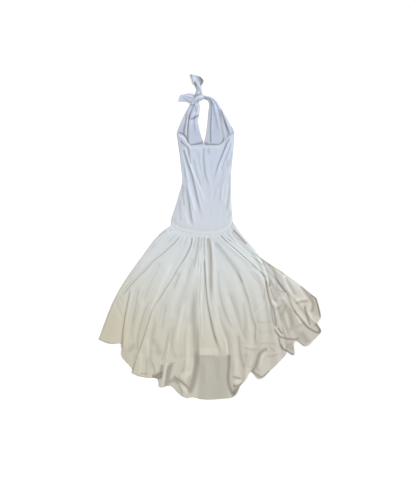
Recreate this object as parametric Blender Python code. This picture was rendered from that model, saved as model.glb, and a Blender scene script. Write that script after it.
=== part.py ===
"""A long halter dress laid out flat with its back up, as one part.

X runs across the dress, +Y towards the neck and +Z up from what it lies on. The origin is
the middle of the laid dress, on the surface under it. The tables are in millimetres, and
the solids are made in metres.

The front is cut as two halves that run up into the straps, and the back is one low panel.
A gathered front skirt and a longer gathered back skirt hang from a dropped hip seam. The
straps are tied in a knot, and their two ends lie free.
"""

import math

import bmesh
import bpy

MM = 0.001

# The cloth
CLOTH = 1.6
SEAM_GAP = 0.3
LAYER = CLOTH + SEAM_GAP
FLAT_WITHIN = math.radians(0.3)
WHITE_JERSEY = (0.80, 0.81, 0.82)
JERSEY_ROUGHNESS = 0.85

# The hip seam, an arc that the bodice and both skirts share
HIP_SEAM = [
    (-201, 59), (-160, 33), (-114, 21), (-69, 13), (-33, 9),
    (32, 12), (69, 22), (94, 36), (110, 56), (118, 82),
]
HIP_SEAM_LENGTH = 366
CENTRE_SHARE = 0.5

# The gathers that the hip seam draws up
GATHER_STRIPS = 4
GATHER_COLUMNS = ("rise", "length")
GATHERS = [(4.4, 0.5), (2.4, 0.2), (3.8, 0.34), (1.6, 0.15), (4.2, 0.44), (2.8, 0.26), (1.9, 0.2)]
SEAM_STRIP = 3.4
HEM_STRIP = 34
SKIRT_LEVELS = [0, 0.02, 0.05, 0.09, 0.14, 0.2, 0.28, 0.37, 0.47, 0.58, 0.69, 0.79, 0.88, 0.95, 1]
FAN_LEFT, FAN_RIGHT = math.radians(209), math.radians(298)

# One row for each fold of the back skirt, from its left side to its right side: the share
# of the hip seam where it starts, then its place (x, y) and its rise off the layer below
# at a third of the way down, at two thirds, and at the hem.
FOLD_COLUMNS = (
    "name", "seam", "upper_x", "upper_y", "upper_rise",
    "lower_x", "lower_y", "lower_rise", "hem_x", "hem_y", "hem_rise",
)
BACK_SKIRT_FOLDS = [
    ("left edge", 0.0, -361, -115, 0, -490, -313, 0, -578, -533, 0),
    ("left crest", 0.07, -318, -118, 8, -452, -315, 7, -515, -553, 7),
    ("left trough", 0.16, -272, -122, 0, -412, -325, 0, -460, -556, 0),
    ("overlap crest", 0.205, -250, -130, 9, -385, -335, 11, -453, -618, 12),
    ("broad trough", 0.275, -202, -155, 1, -325, -370, 1, -414, -672, 0),
    ("long fold crest", 0.325, -170, -160, 11, -290, -355, 12, -401, -687, 9),
    ("long fold groove", 0.35, -156, -164, 0, -276, -362, 0, -404, -706, 0),
    ("left panel crest", 0.385, -133, -170, 9, -235, -400, 10, -340, -728, 8),
    ("left panel trough", 0.42, -110, -185, 2, -195, -460, 1, -270, -739, 0),
    ("step crest", 0.445, -88, -200, 8, -163, -475, 11, -256, -778, 14),
    ("step trough", 0.47, -68, -220, 1, -130, -485, 1, -204, -773, 0),
    ("lobe crest", 0.49, -53, -228, 7, -104, -500, 10, -145, -819, 14),
    ("lobe end", 0.507, -42, -235, 6, -82, -510, 7, -119, -834, 10),
    ("wide trough", 0.525, -31, -240, 0, -60, -515, 0, -88, -833, 0),
    ("centre crest", 0.545, -20, -245, 9, -24, -505, 10, -36, -843, 3),
    ("centre groove", 0.565, -8, -250, 0, 8, -485, 0, 24, -844, 0),
    ("inner crest", 0.585, 6, -250, 8, 36, -485, 9, 70, -839, 3),
    ("panel trough", 0.61, 24, -245, 0, 72, -485, 0, 110, -836, 0),
    ("panel crest", 0.635, 52, -245, 8, 108, -490, 12, 136, -818, 16),
    ("right trough", 0.655, 84, -240, 1, 141, -500, 1, 158, -776, 0),
    ("right crest", 0.675, 114, -225, 9, 186, -480, 11, 186, -741, 12),
    ("right groove", 0.7, 150, -205, 0, 222, -440, 0, 214, -702, 0),
    ("corner crest", 0.735, 190, -200, 10, 262, -425, 12, 262, -736, 13),
    ("corner trough", 0.775, 220, -180, 1, 292, -405, 2, 316, -693, 3),
    ("gather crest", 0.82, 240, -158, 10, 310, -385, 12, 352, -657, 8),
    ("gather groove", 0.87, 251, -142, 0, 322, -374, 0, 375, -634, 0),
    ("side crest", 0.93, 260, -132, 13, 335, -364, 20, 390, -618, 9),
    ("right edge", 1.0, 268, -121, 0, 348, -356, 0, 401, -604, 0),
]

# The front skirt lies under the back skirt, flat on the surface, and comes out past its
# right side as a heap of folds. Its hem is shorter than the back's.
FRONT_SKIRT_FOLDS = [
    ("left edge", 0.0, -361, -115, 0, -490, -313, 0, -573, -531, 0),
    ("left", 0.12, -296, -125, 0, -420, -330, 0, -464, -553, 0),
    ("left middle", 0.3, -180, -160, 0, -260, -370, 0, -300, -590, 0),
    ("middle left", 0.45, -90, -180, 0, -120, -390, 0, -130, -604, 0),
    ("middle", 0.6, 5, -180, 0, 15, -395, 0, 25, -609, 0),
    ("middle right", 0.75, 100, -150, 0, 150, -365, 0, 170, -611, 0),
    ("right", 0.85, 170, -125, 0, 240, -330, 0, 300, -590, 0),
    ("below the side", 0.91, 200, -105, 0, 300, -340, 0, 374, -581, 0),
    ("flap trough", 0.93, 204, -100, 0, 322, -332, 0, 404, -597, 0),
    ("flap crest", 0.943, 207, -97, 0, 333, -325, 2, 438, -612, 9),
    ("notch", 0.955, 210, -94, 0, 344, -317, 6, 436, -553, 14),
    ("lower lobe trough", 0.963, 213, -91, 0, 357, -309, 3, 452, -538, 2),
    ("lower lobe crest", 0.97, 215, -88, 0, 371, -302, 14, 502, -566, 16),
    ("lower lobe end", 0.977, 217, -86, 0, 385, -297, 8, 540, -534, 8),
    ("lap groove", 0.983, 219, -84, 0, 396, -291, 1, 572, -501, 2),
    ("lap crest", 0.988, 221, -82, 0, 404, -280, 20, 577, -484, 22),
    ("lap end", 0.992, 222, -79, 0, 410, -262, 13, 556, -446, 14),
    ("top lobe crest", 0.996, 223, -76, 0, 414, -238, 17, 576, -415, 18),
    ("right edge", 1.0, 222, -73, 0, 417, -211, 6, 555, -319, 4),
]
FRONT_LEVELS_DOWN = 18
FRONT_SEAM_STRIP = 8

# How far beyond the back's right edge the heap starts to rise, and where it is full
CLEAR_START, CLEAR_END = 14, 40

# The back drops from the front skirt to the surface past the front's hem.
FRONT_HEM_Y = -611
DROP_START, DROP_END = 45, 125

# The sides of the bodice, from the hip seam up to the underarm
LEFT_SIDE = [
    (-201, 59), (-200, 90), (-184, 138), (-153, 241), (-141, 290), (-148, 360), (-158, 455),
    (-171, 540),
]
RIGHT_SIDE = [
    (118, 82), (114, 140), (110, 205), (109, 270), (110, 339), (118, 420), (125, 490), (126, 541),
]

# The low top edge of the back, from underarm to underarm
BACK_EDGE = [
    (-171, 540), (-150, 534), (-130, 517), (-113, 489), (-98, 478),
    (-25, 476), (50, 480), (76, 498), (95, 520), (126, 541),
]

# One row for each soft ridge of the back bodice: its start, its middle and its end, its
# rise, and how far it spreads to each side.
RIDGE_COLUMNS = (
    "name", "start_x", "start_y", "middle_x", "middle_y", "end_x", "end_y", "rise", "spread",
)
BACK_BODICE_RIDGES = [
    ("left rolled edge", -160, 530, -130, 500, -96, 462, 8, 14),
    ("left long ridge", -150, 500, -112, 400, -58, 190, 8, 14),
    ("left inner ridge", -112, 470, -84, 370, -4, 110, 7, 15),
    ("left side ridge", -152, 430, -124, 320, -104, 70, 6, 15),
    ("left hip ridge", -150, 260, -166, 170, -168, 75, 6, 16),
    ("centre ridge", -20, 462, -12, 380, 6, 250, 5, 14),
    ("right corner fold", 104, 515, 76, 445, 44, 380, 8, 13),
    ("right long ridge", 106, 460, 84, 380, 52, 130, 8, 15),
    ("right side ridge", 112, 380, 96, 280, 84, 80, 6, 14),
    ("first gather", -58, 470, -54, 450, -50, 425, 4, 9),
    ("second gather", 20, 474, 24, 450, 28, 420, 4, 9),
]
BODICE_STRIPS = 30
BODICE_PUFF, BODICE_PUFF_REACH = 2, 0.1
BODICE_LEVELS = [
    0, 0.03, 0.08, 0.14, 0.2, 0.27, 0.35, 0.43, 0.51, 0.59, 0.67, 0.75, 0.83, 0.9, 0.96, 1,
]

# The knot where the two straps are tied, and its rings from the bottom up
KNOT_CENTRE = (-57, 729)
KNOT_REACH = (26, 23)
KNOT_SIDES = 30
KNOT_LOBES, KNOT_LOBE_DEPTH = 3, 0.07
KNOT_RING_COLUMNS = ("height", "share", "turn")
KNOT_RINGS = [
    (0, 0.97, 0), (4, 1.0, 0), (9, 1.0, 0), (14, 0.97, 0),
    (18, 0.88, 0.3), (22, 0.72, 0.7), (25, 0.48, 1.1), (26.5, 0.22, 1.4),
]

# The halves of the front, one row for each level from the hip seam up to the knot: the
# outer edge, the inner edge, and how far the gathers rise there.
LEVEL_COLUMNS = ("name", "outer_x", "outer_y", "inner_x", "inner_y", "rise")
LEFT_FRONT_LEVELS = [
    ("hip", -200, 90, -31, 62, 0),
    ("high hip", -184, 138, -31, 120, 0),
    ("below the waist", -153, 241, -31, 241, 0),
    ("waist", -142, 300, -31, 310, 0),
    ("ribs", -150, 385, -31, 390, 0),
    ("foot of the neckline", -166, 497, -33, 487, 0),
    ("underarm", -171, 541, -44, 520, 0),
    ("bust", -157, 580, -54, 558, 6),
    ("upper bust", -139, 622, -61, 598, 8),
    ("gathers", -122, 656, -58, 634, 8),
    ("strap", -101, 690, -52, 672, 7),
]
RIGHT_FRONT_LEVELS = [
    ("hip", 116, 115, -31, 62, 0),
    ("high hip", 112, 165, -31, 120, 0),
    ("below the waist", 109, 241, -31, 241, 0),
    ("waist", 109, 310, -31, 310, 0),
    ("ribs", 115, 390, -31, 390, 0),
    ("foot of the neckline", 125, 490, -29, 487, 0),
    ("underarm", 125, 549, -23, 520, 0),
    ("bust", 105, 588, -16, 558, 6),
    ("upper bust", 84, 624, -11, 600, 9),
    ("gathers", 62, 664, -7, 645, 9),
    ("strap", 38, 702, -3, 688, 8),
    ("neck", 8, 726, -10, 707, 6),
]
FRONT_STRIPS = 12
FRONT_GATHERS = 3
LEFT_STRAP_END = (math.radians(-136), math.radians(-92))
RIGHT_STRAP_END = (math.radians(18), math.radians(-24))
STRAP_END_RISE = 5
LEVELS_BETWEEN = 2

# The turned-back edge of the left neckline, over the left half: how far from the half's
# outer edge it reaches, the levels of its foot at its two sides, and the level of its top
TURNBACK_EDGE = 0.42
TURNBACK_FOOT = (9.2, 9.95)
TURNBACK_TOP = 11.6
TURNBACK_STRIPS = 8
TURNBACK_PUFF = 3
CHORD_SLACK = 1.2

# The two free ends of the straps, one row for each section across a tie from the knot to
# its tip: one side, the middle and the other side, each with its rise off the surface.
TIE_COLUMNS = ("a_x", "a_y", "a_rise", "m_x", "m_y", "m_rise", "b_x", "b_y", "b_rise")
LEFT_TIE_START = (math.radians(150), math.radians(181), math.radians(214))
TOP_TIE_START = (math.radians(118), math.radians(88), math.radians(52))
TIE_START_RISES = (5, 9, 5)
LEFT_TIE = [
    (-101, 746, 4, -103, 724, 9, -103, 698, 2),
    (-124, 744, 1, -121, 722, 6, -121, 701, 0),
    (-141, 741, 0, -140, 721, 3, -142, 703, 0),
    (-155, 737, 0, -160, 720, 1, -165, 704, 0),
]
TOP_TIE = [
    (-67, 764, 4, -54, 767, 12, -42, 767, 4),
    (-73, 779, 3, -58, 781, 13, -45, 780, 3),
    (-78, 790, 4, -62, 791, 11, -46, 787, 6),
    (-88, 801, 8, -64, 803, 4, -36, 801, 12),
    (-92, 817, 10, -66, 819, 2, -34, 813, 16),
    (-103, 846, 6, -76, 840, 3, -50, 832, 12),
]
TIE_STRIPS = 8
TIE_LEVELS = 3


def ease(share):
    """A smooth step from 0 to 1."""
    share = min(max(share, 0.0), 1.0)
    return share * share * (3 - 2 * share)


def between(a, b, share):
    return tuple(p + (q - p) * share for p, q in zip(a, b))


def through(points, stations, at, start_slope=None):
    """The point at a station of a smooth curve through points, one for each station."""
    last = len(points) - 1
    slopes = []
    for k in range(last + 1):
        before, after = max(k - 1, 0), min(k + 1, last)
        span = stations[after] - stations[before]
        slopes.append(tuple((q - p) / span for p, q in zip(points[before], points[after])))
    if start_slope:
        slopes[0] = start_slope
    k = min(max(sum(at >= s for s in stations) - 1, 0), last - 1)
    span = stations[k + 1] - stations[k]
    t = (at - stations[k]) / span
    parts = [
        (2 * t**3 - 3 * t**2 + 1, points[k]),
        ((t**3 - 2 * t**2 + t) * span, slopes[k]),
        (3 * t**2 - 2 * t**3, points[k + 1]),
        ((t**3 - t**2) * span, slopes[k + 1]),
    ]
    return tuple(sum(pull * part[axis] for pull, part in parts) for axis in range(len(points[0])))


def along(points, share):
    """The point at a share of the length of a smooth line through points."""
    lengths = [0.0]
    for a, b in zip(points, points[1:]):
        lengths.append(lengths[-1] + math.dist(a, b))
    return through(points, lengths, share * lengths[-1])


def hip_seam(share, away=0.0):
    """A point of the hip seam, moved away from it towards the hem."""
    nudge = 0.004
    x, y = along(HIP_SEAM, share)
    ahead = along(HIP_SEAM, min(share + nudge, 1))
    behind = along(HIP_SEAM, max(share - nudge, 0))
    run = math.dist(ahead, behind)
    return (
        x + away * (ahead[1] - behind[1]) / run,
        y - away * (ahead[0] - behind[0]) / run,
    )


def gather_rise(strip, seam_share, down):
    """The height of the gathers on a strip's edge, which fades out down the skirt."""
    row = dict(zip(GATHER_COLUMNS, GATHERS[strip // GATHER_STRIPS % len(GATHERS)]))
    wave = 0.5 - 0.5 * math.cos(2 * math.pi * strip / GATHER_STRIPS)
    sides = ease(min(seam_share, 1 - seam_share) / 0.012)
    return row["rise"] * wave * sides * (1 - ease(down / row["length"]))


def fold_point(fold, down):
    """Where a fold line of a skirt lies at a share of the way down, and its rise there."""
    row = dict(zip(FOLD_COLUMNS, fold))
    start = (*hip_seam(row["seam"], SEAM_GAP / 2), 0)
    places = [
        start,
        (row["upper_x"], row["upper_y"], row["upper_rise"]),
        (row["lower_x"], row["lower_y"], row["lower_rise"]),
        (row["hem_x"], row["hem_y"], row["hem_rise"]),
    ]
    angle = FAN_LEFT + (FAN_RIGHT - FAN_LEFT) * row["seam"]
    reach = 3.3 * math.dist(start[:2], places[1][:2])
    leave = (reach * math.cos(angle), reach * math.sin(angle), 0)
    return through(places, [0, 1 / 3, 2 / 3, 1], down, leave)


def strips_between(fold, other):
    """How many strips a skirt needs between two folds to show the gathers and the hem."""
    a, b = dict(zip(FOLD_COLUMNS, fold)), dict(zip(FOLD_COLUMNS, other))
    at_seam = (b["seam"] - a["seam"]) * HIP_SEAM_LENGTH / SEAM_STRIP
    at_hem = math.dist((a["hem_x"], a["hem_y"]), (b["hem_x"], b["hem_y"])) / HEM_STRIP
    return max(2, round(at_seam), round(at_hem))


def skirt_surface(folds, levels, strips_of, height):
    """The underside of a skirt: columns of points from its left side to its right side."""
    places = [(k, strip / strips_of(*pair)) for k, pair in enumerate(zip(folds, folds[1:]))
              for strip in range(strips_of(*pair))]
    places.append((len(folds) - 2, 1))
    columns = [[] for _ in places]
    for down in levels:
        points = [fold_point(fold, down) for fold in folds]
        stations = [0.0]
        for a, b in zip(points, points[1:]):
            stations.append(stations[-1] + math.dist(a[:2], b[:2]))
        for strip, (k, share) in enumerate(places):
            seam = folds[k][1] + (folds[k + 1][1] - folds[k][1]) * share
            x, y, _ = through(points, stations, stations[k] + (stations[k + 1] - stations[k]) * share)
            if down == 0:
                x, y = hip_seam(seam, SEAM_GAP / 2)
            rise = max(points[k][2] + (points[k + 1][2] - points[k][2]) * ease(share), 0)
            columns[strip].append((x, y, height(x, y, rise, strip, seam, down)))
    return columns


def wall(name, columns, material):
    """A panel of cloth on its underside's points: a wall of one thickness above them."""
    mesh = bmesh.new()
    grid = [[mesh.verts.new([c * MM for c in point]) for point in column] for column in columns]
    for left, right in zip(grid, grid[1:]):
        for k in range(len(left) - 1):
            mesh.faces.new((left[k], left[k + 1], right[k + 1], right[k]))
    mesh.normal_update()
    bmesh.ops.dissolve_limit(mesh, angle_limit=FLAT_WITHIN, verts=mesh.verts, edges=mesh.edges)
    bmesh.ops.triangulate(mesh, faces=mesh.faces)
    extruded = bmesh.ops.extrude_face_region(mesh, geom=list(mesh.faces), use_keep_orig=True)
    top = [part for part in extruded["geom"] if isinstance(part, bmesh.types.BMVert)]
    bmesh.ops.translate(mesh, verts=top, vec=(0, 0, CLOTH * MM))
    bmesh.ops.recalc_face_normals(mesh, faces=mesh.faces)
    return finished(name, mesh, material)


def finished(name, mesh, material):
    """The mesh as an object in the dress's collection, shaded smooth but for its rims."""
    data = bpy.data.meshes.new(name)
    mesh.to_mesh(data)
    mesh.free()
    data.materials.append(material)
    data.shade_smooth()
    data.set_sharp_from_angle(angle=math.radians(50))
    piece = bpy.data.objects.new(name, data)
    dress.objects.link(piece)
    return piece


def back_skirt_height(x, y, rise, strip, seam, down):
    """The back skirt lies on the front skirt, then on the surface past the front's hem."""
    past_hem = FRONT_HEM_Y - y
    base = LAYER * (1 - ease((past_hem - DROP_START) / (DROP_END - DROP_START)))
    return base + rise + gather_rise(strip, seam, down)


def make_back_skirt(material):
    columns = skirt_surface(BACK_SKIRT_FOLDS, SKIRT_LEVELS, strips_between, back_skirt_height)
    return wall("back_skirt", columns, material)


def beyond_back(x, y):
    """How far a point lies to the right of the back skirt's right edge."""
    levels = [k / 24 for k in range(25)]
    edge = [fold_point(BACK_SKIRT_FOLDS[-1], down)[:2] for down in levels]
    nearest = -math.inf
    distance = math.inf
    for a, b in zip(edge, edge[1:]):
        run = math.dist(a, b)
        ahead = ((b[0] - a[0]) / run, (b[1] - a[1]) / run)
        reach = min(max((x - a[0]) * ahead[0] + (y - a[1]) * ahead[1], 0), run)
        foot = (a[0] + ahead[0] * reach, a[1] + ahead[1] * reach)
        if math.dist((x, y), foot) < distance:
            distance = math.dist((x, y), foot)
            nearest = (y - a[1]) * ahead[0] - (x - a[0]) * ahead[1]
    return distance if nearest > 0 else -distance


def front_skirt_height(x, y, rise, strip, seam, down):
    """The front skirt lies flat under the back skirt, and rises in folds beyond it."""
    return rise * ease((beyond_back(x, y) - CLEAR_START) / (CLEAR_END - CLEAR_START))


def make_front_skirt(material):
    def strips(fold, other):
        return max(2, round((other[1] - fold[1]) * HIP_SEAM_LENGTH / FRONT_SEAM_STRIP))

    levels = [k / FRONT_LEVELS_DOWN for k in range(FRONT_LEVELS_DOWN + 1)]
    columns = skirt_surface(FRONT_SKIRT_FOLDS, levels, strips, front_skirt_height)
    return wall("front_skirt", columns, material)


def ridge_rise(row, x, y):
    """The rise of a ridge of the back bodice at a point, full along its middle part."""
    points = [(row[f"{end}_x"], row[f"{end}_y"]) for end in ("start", "middle", "end")]
    best = 0.0
    for half, (a, b) in enumerate(zip(points, points[1:])):
        run = math.dist(a, b)
        share = ((x - a[0]) * (b[0] - a[0]) + (y - a[1]) * (b[1] - a[1])) / run**2
        share = min(max(share, 0), 1)
        away = math.dist((x, y), between(a, b, share)) / row["spread"]
        from_end = share if half == 0 else 1 - share
        best = max(best, row["rise"] * (1 - ease(away)) * (0.3 + 0.7 * ease(from_end * 2)))
    return best


def bodice_point(top, seam, down):
    """A point of the back bodice's plan between its top edge, its sides and the hip seam."""
    upper, lower = along(BACK_EDGE, top), hip_seam(seam, -SEAM_GAP / 2)
    left, right = along(LEFT_SIDE, 1 - down), along(RIGHT_SIDE, 1 - down)
    left_straight = between(BACK_EDGE[0], LEFT_SIDE[0], down)
    right_straight = between(BACK_EDGE[-1], RIGHT_SIDE[0], down)
    x, y = between(upper, lower, down)
    across = top + (seam - top) * down
    pulls = [(left, left_straight, 1 - across), (right, right_straight, across)]
    for side, straight, share in pulls:
        x += (side[0] - straight[0]) * share
        y += (side[1] - straight[1]) * share
    return x, y


def make_back_bodice(material):
    ridges = [dict(zip(RIDGE_COLUMNS, ridge)) for ridge in BACK_BODICE_RIDGES]
    columns = []
    for strip in range(BODICE_STRIPS + 1):
        share = strip / BODICE_STRIPS
        column = []
        for down in BODICE_LEVELS:
            x, y = bodice_point(share, share, down)
            sides = ease(min(share, 1 - share) / BODICE_PUFF_REACH)
            ends = 0.3 + 0.7 * ease(min(down, 1 - down) / BODICE_PUFF_REACH)
            rise = BODICE_PUFF + max(ridge_rise(row, x, y) for row in ridges)
            column.append((x, y, LAYER + (rise * sides * ends if down < 1 else 0)))
        columns.append(column)
    return wall("back_bodice", columns, material)


def knot_edge(angle, share=1.0, away=0.0, turn=0.0):
    """A point of the knot's outline, moved out from it. A turn twists its lobes."""
    lobe = 1 + KNOT_LOBE_DEPTH * math.cos(KNOT_LOBES * (angle + turn) + 0.6)
    return (
        KNOT_CENTRE[0] + (KNOT_REACH[0] * lobe * share + away) * math.cos(angle),
        KNOT_CENTRE[1] + (KNOT_REACH[1] * lobe * share + away) * math.sin(angle),
    )


def front_point(table, strap_end, side, share, at):
    """A point of one half of the front, at a share from its outer to its inner edge.

    The side is -1 for the left half and 1 for the right one. At 0 the level is the hip
    seam, and each row of the table is one level further up, with the knot above the last.
    """
    rows = [dict(zip(LEVEL_COLUMNS, level)) for level in table]
    knot_level = len(rows) + 1
    seam = 0.5 + 0.5 * side + (CENTRE_SHARE - 0.5 - 0.5 * side) * share
    if at == 0:
        x, y = hip_seam(seam, -SEAM_GAP / 2)
        return x + side * share * SEAM_GAP / 2, y, 0.0
    if at == knot_level:
        x, y = knot_edge(strap_end[0] + (strap_end[1] - strap_end[0]) * share, away=SEAM_GAP)
        rise = STRAP_END_RISE
    else:
        edges = []
        for edge, seam_share, angle in (("outer", 0.5 + 0.5 * side, 0), ("inner", CENTRE_SHARE, 1)):
            line = [(row[edge + "_x"], row[edge + "_y"], row["rise"]) for row in rows]
            line.insert(0, (*hip_seam(seam_share, -SEAM_GAP / 2), 0))
            line.append((*knot_edge(strap_end[angle], away=SEAM_GAP), STRAP_END_RISE))
            edges.append(through(line, range(knot_level + 1), at))
        x, y, rise = between(*edges, share)
        x += side * share * SEAM_GAP / 2
    wave = 0.5 - 0.5 * math.cos(2 * math.pi * FRONT_GATHERS * share)
    return x, y, max(rise, 0) * wave


def make_front_half(name, table, strap_end, side, material):
    steps = (len(table) + 1) * LEVELS_BETWEEN
    columns = []
    for strip in range(FRONT_STRIPS + 1):
        share = strip / FRONT_STRIPS
        columns.append([
            front_point(table, strap_end, side, share, step / LEVELS_BETWEEN)
            for step in range(steps + 1)
        ])
    return wall(name, columns, material)


def make_turnback(material):
    """The left neckline's edge, turned back over the inside of the left half."""
    columns = []
    for strip in range(TURNBACK_STRIPS + 1):
        across = strip / TURNBACK_STRIPS
        column = []
        for level in range(TURNBACK_STRIPS + 1):
            up = level / TURNBACK_STRIPS
            foot = TURNBACK_FOOT[0] + (TURNBACK_FOOT[1] - TURNBACK_FOOT[0]) * across
            share = TURNBACK_EDGE + (1 - TURNBACK_EDGE) * across
            x, y, z = front_point(
                LEFT_FRONT_LEVELS, LEFT_STRAP_END, -1, share, foot + (TURNBACK_TOP - foot) * up
            )
            puff = TURNBACK_PUFF * math.sin(math.pi * across) * (0.4 + 0.6 * math.sin(math.pi * up))
            column.append((x, y, z + LAYER + CHORD_SLACK * ease(4 * (1 - across)) + puff))
        columns.append(column)
    return wall("neckline_turnback", columns, material)


def make_knot(material):
    mesh = bmesh.new()
    rings = []
    for ring in KNOT_RINGS:
        row = dict(zip(KNOT_RING_COLUMNS, ring))
        points = [
            (*knot_edge(2 * math.pi * side / KNOT_SIDES, row["share"], 0, row["turn"]), row["height"])
            for side in range(KNOT_SIDES)
        ]
        rings.append([mesh.verts.new([c * MM for c in point]) for point in points])
    for low, high in zip(rings, rings[1:]):
        for k in range(KNOT_SIDES):
            n = (k + 1) % KNOT_SIDES
            mesh.faces.new((low[k], low[n], high[n], high[k]))
    mesh.faces.new(rings[0])
    mesh.faces.new(rings[-1])
    bmesh.ops.recalc_face_normals(mesh, faces=mesh.faces)
    return finished("halter_knot", mesh, material)


def make_tie(name, table, start, material):
    rows = [dict(zip(TIE_COLUMNS, section)) for section in table]
    sides = [[(row[f"{k}_x"], row[f"{k}_y"], row[f"{k}_rise"]) for row in rows] for k in "amb"]
    for side, angle, rise in zip(sides, start, TIE_START_RISES):
        side.insert(0, (*knot_edge(angle, away=SEAM_GAP), rise))
    stations = list(range(len(rows) + 1))
    steps = len(rows) * TIE_LEVELS
    columns = []
    for strip in range(TIE_STRIPS + 1):
        column = []
        for step in range(steps + 1):
            trio = [through(side, stations, step / TIE_LEVELS) for side in sides]
            x, y, z = through(trio, [0, 0.5, 1], strip / TIE_STRIPS)
            if step == 0:
                angle = through([(a,) for a in start], [0, 0.5, 1], strip / TIE_STRIPS)[0]
                x, y = knot_edge(angle, away=SEAM_GAP)
            column.append((x, y, max(z, 0)))
        columns.append(column)
    return wall(name, columns, material)


def jersey(name, shade):
    """A matt white knit, a little lighter or darker by its piece."""
    material = bpy.data.materials.new(name)
    material.use_nodes = True
    shader = material.node_tree.nodes["Principled BSDF"]
    shader.inputs["Base Color"].default_value = (*[c * shade for c in WHITE_JERSEY], 1)
    shader.inputs["Roughness"].default_value = JERSEY_ROUGHNESS
    shader.inputs["Metallic"].default_value = 0
    return material


def centre(pieces):
    """Moves the dress so that the middle of its outline is over the origin."""
    corners = [vert.co for piece in pieces for vert in piece.data.vertices]
    shift = [(min(c[axis] for c in corners) + max(c[axis] for c in corners)) / 2 for axis in (0, 1)]
    for piece in pieces:
        for vert in piece.data.vertices:
            vert.co.x -= shift[0]
            vert.co.y -= shift[1]


for old in list(bpy.data.objects):
    bpy.data.objects.remove(old)
dress = bpy.data.collections.new("halter_dress")
bpy.context.scene.collection.children.link(dress)

right_side = jersey("jersey right side", 1.0)
wrong_side = jersey("jersey wrong side", 0.94)
dress_pieces = [
    make_back_skirt(right_side),
    make_front_skirt(wrong_side),
    make_back_bodice(right_side),
    make_front_half("front_left", LEFT_FRONT_LEVELS, LEFT_STRAP_END, -1, wrong_side),
    make_front_half("front_right", RIGHT_FRONT_LEVELS, RIGHT_STRAP_END, 1, wrong_side),
    make_turnback(right_side),
    make_knot(right_side),
    make_tie("left_tie_end", LEFT_TIE, LEFT_TIE_START, right_side),
    make_tie("top_tie_end", TOP_TIE, TOP_TIE_START, right_side),
]
centre(dress_pieces)
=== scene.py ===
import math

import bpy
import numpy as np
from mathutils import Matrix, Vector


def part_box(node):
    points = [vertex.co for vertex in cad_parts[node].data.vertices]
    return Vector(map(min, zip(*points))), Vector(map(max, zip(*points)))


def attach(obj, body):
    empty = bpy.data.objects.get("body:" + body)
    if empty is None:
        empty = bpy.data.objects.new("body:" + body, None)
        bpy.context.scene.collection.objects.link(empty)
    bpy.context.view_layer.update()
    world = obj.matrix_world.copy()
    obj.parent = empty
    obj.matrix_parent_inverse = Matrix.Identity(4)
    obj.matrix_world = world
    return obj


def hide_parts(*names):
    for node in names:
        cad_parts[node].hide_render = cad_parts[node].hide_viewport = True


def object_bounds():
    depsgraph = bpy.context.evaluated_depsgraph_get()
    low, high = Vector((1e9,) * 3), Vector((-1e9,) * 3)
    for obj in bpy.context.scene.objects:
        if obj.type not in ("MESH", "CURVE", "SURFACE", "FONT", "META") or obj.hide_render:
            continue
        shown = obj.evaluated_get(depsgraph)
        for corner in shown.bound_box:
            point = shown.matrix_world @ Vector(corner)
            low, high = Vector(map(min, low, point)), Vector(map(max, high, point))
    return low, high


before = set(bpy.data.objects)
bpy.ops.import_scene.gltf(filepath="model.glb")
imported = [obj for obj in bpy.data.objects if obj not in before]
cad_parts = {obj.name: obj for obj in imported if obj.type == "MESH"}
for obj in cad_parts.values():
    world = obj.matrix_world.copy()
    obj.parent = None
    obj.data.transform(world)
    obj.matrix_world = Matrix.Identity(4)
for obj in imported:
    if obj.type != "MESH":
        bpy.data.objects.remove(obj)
cad_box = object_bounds()
# %% [markdown]
# # A long halter dress, laid out flat with its back up
#
# The dress is cut from limp white jersey. The front is two halves that run up into
# straps, the back is one low panel, and a gathered front skirt and a longer gathered back
# skirt hang from a dropped, smile-shaped hip seam. The solids loaded above hold the place
# and the main form of each piece of cloth. Here each one is made again as a thin sheet
# with its creases, its hems and its knit.
#
# The tables are in millimetres, because a dressmaker's numbers read best that way. Blender
# works in metres, so the last step of each piece is a scale by one thousandth. The tables'
# origin is not quite the middle of the laid dress, which is the frame's origin, so each
# piece is also moved by that little difference.

MM = 0.001
CENTRED = (0.5, -0.7)
for solid in sorted(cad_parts):
    low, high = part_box(solid)
    print(solid, "from", [round(c / MM) for c in low], "to", [round(c / MM) for c in high])

# %% [markdown]
# ## The view
#
# The dress lies on the floor and the camera hangs six metres above it, looking straight
# down. A long lens from far away keeps the outline free of perspective, as in a catalogue
# photograph. The frame is 483 pixels high and one pixel covers 5.2 mm of the floor, which
# gives the lens: the sensor height times the distance, over the height that is seen. The
# pixel where the tables' origin lies gives the place of the camera.

# %% The camera
FRAME_PIXELS = (416, 483)
ORIGIN_PIXEL = (209.85, 236.85)
FLOOR_PER_PIXEL = 5.2 * MM
CAMERA_HEIGHT = 6.0
SIGHT = 1000
SENSOR = 36.0

seen_height = FRAME_PIXELS[1] * FLOOR_PER_PIXEL
camera_data = bpy.data.cameras.new("view_from_above")
camera_data.sensor_fit = "VERTICAL"
camera_data.sensor_height = SENSOR
camera_data.sensor_width = SENSOR
camera_data.lens = SENSOR * CAMERA_HEIGHT / seen_height
camera_data.clip_end = SIGHT
camera = bpy.data.objects.new("view_from_above", camera_data)
camera.location = (
    (FRAME_PIXELS[0] / 2 - ORIGIN_PIXEL[0]) * FLOOR_PER_PIXEL + CENTRED[0] * MM,
    (ORIGIN_PIXEL[1] - FRAME_PIXELS[1] / 2) * FLOOR_PER_PIXEL + CENTRED[1] * MM,
    CAMERA_HEIGHT,
)
bpy.context.scene.collection.objects.link(camera)
bpy.context.scene.camera = camera
print("lens", round(camera_data.lens, 1), "mm, seen height", round(seen_height, 3), "m")

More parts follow.
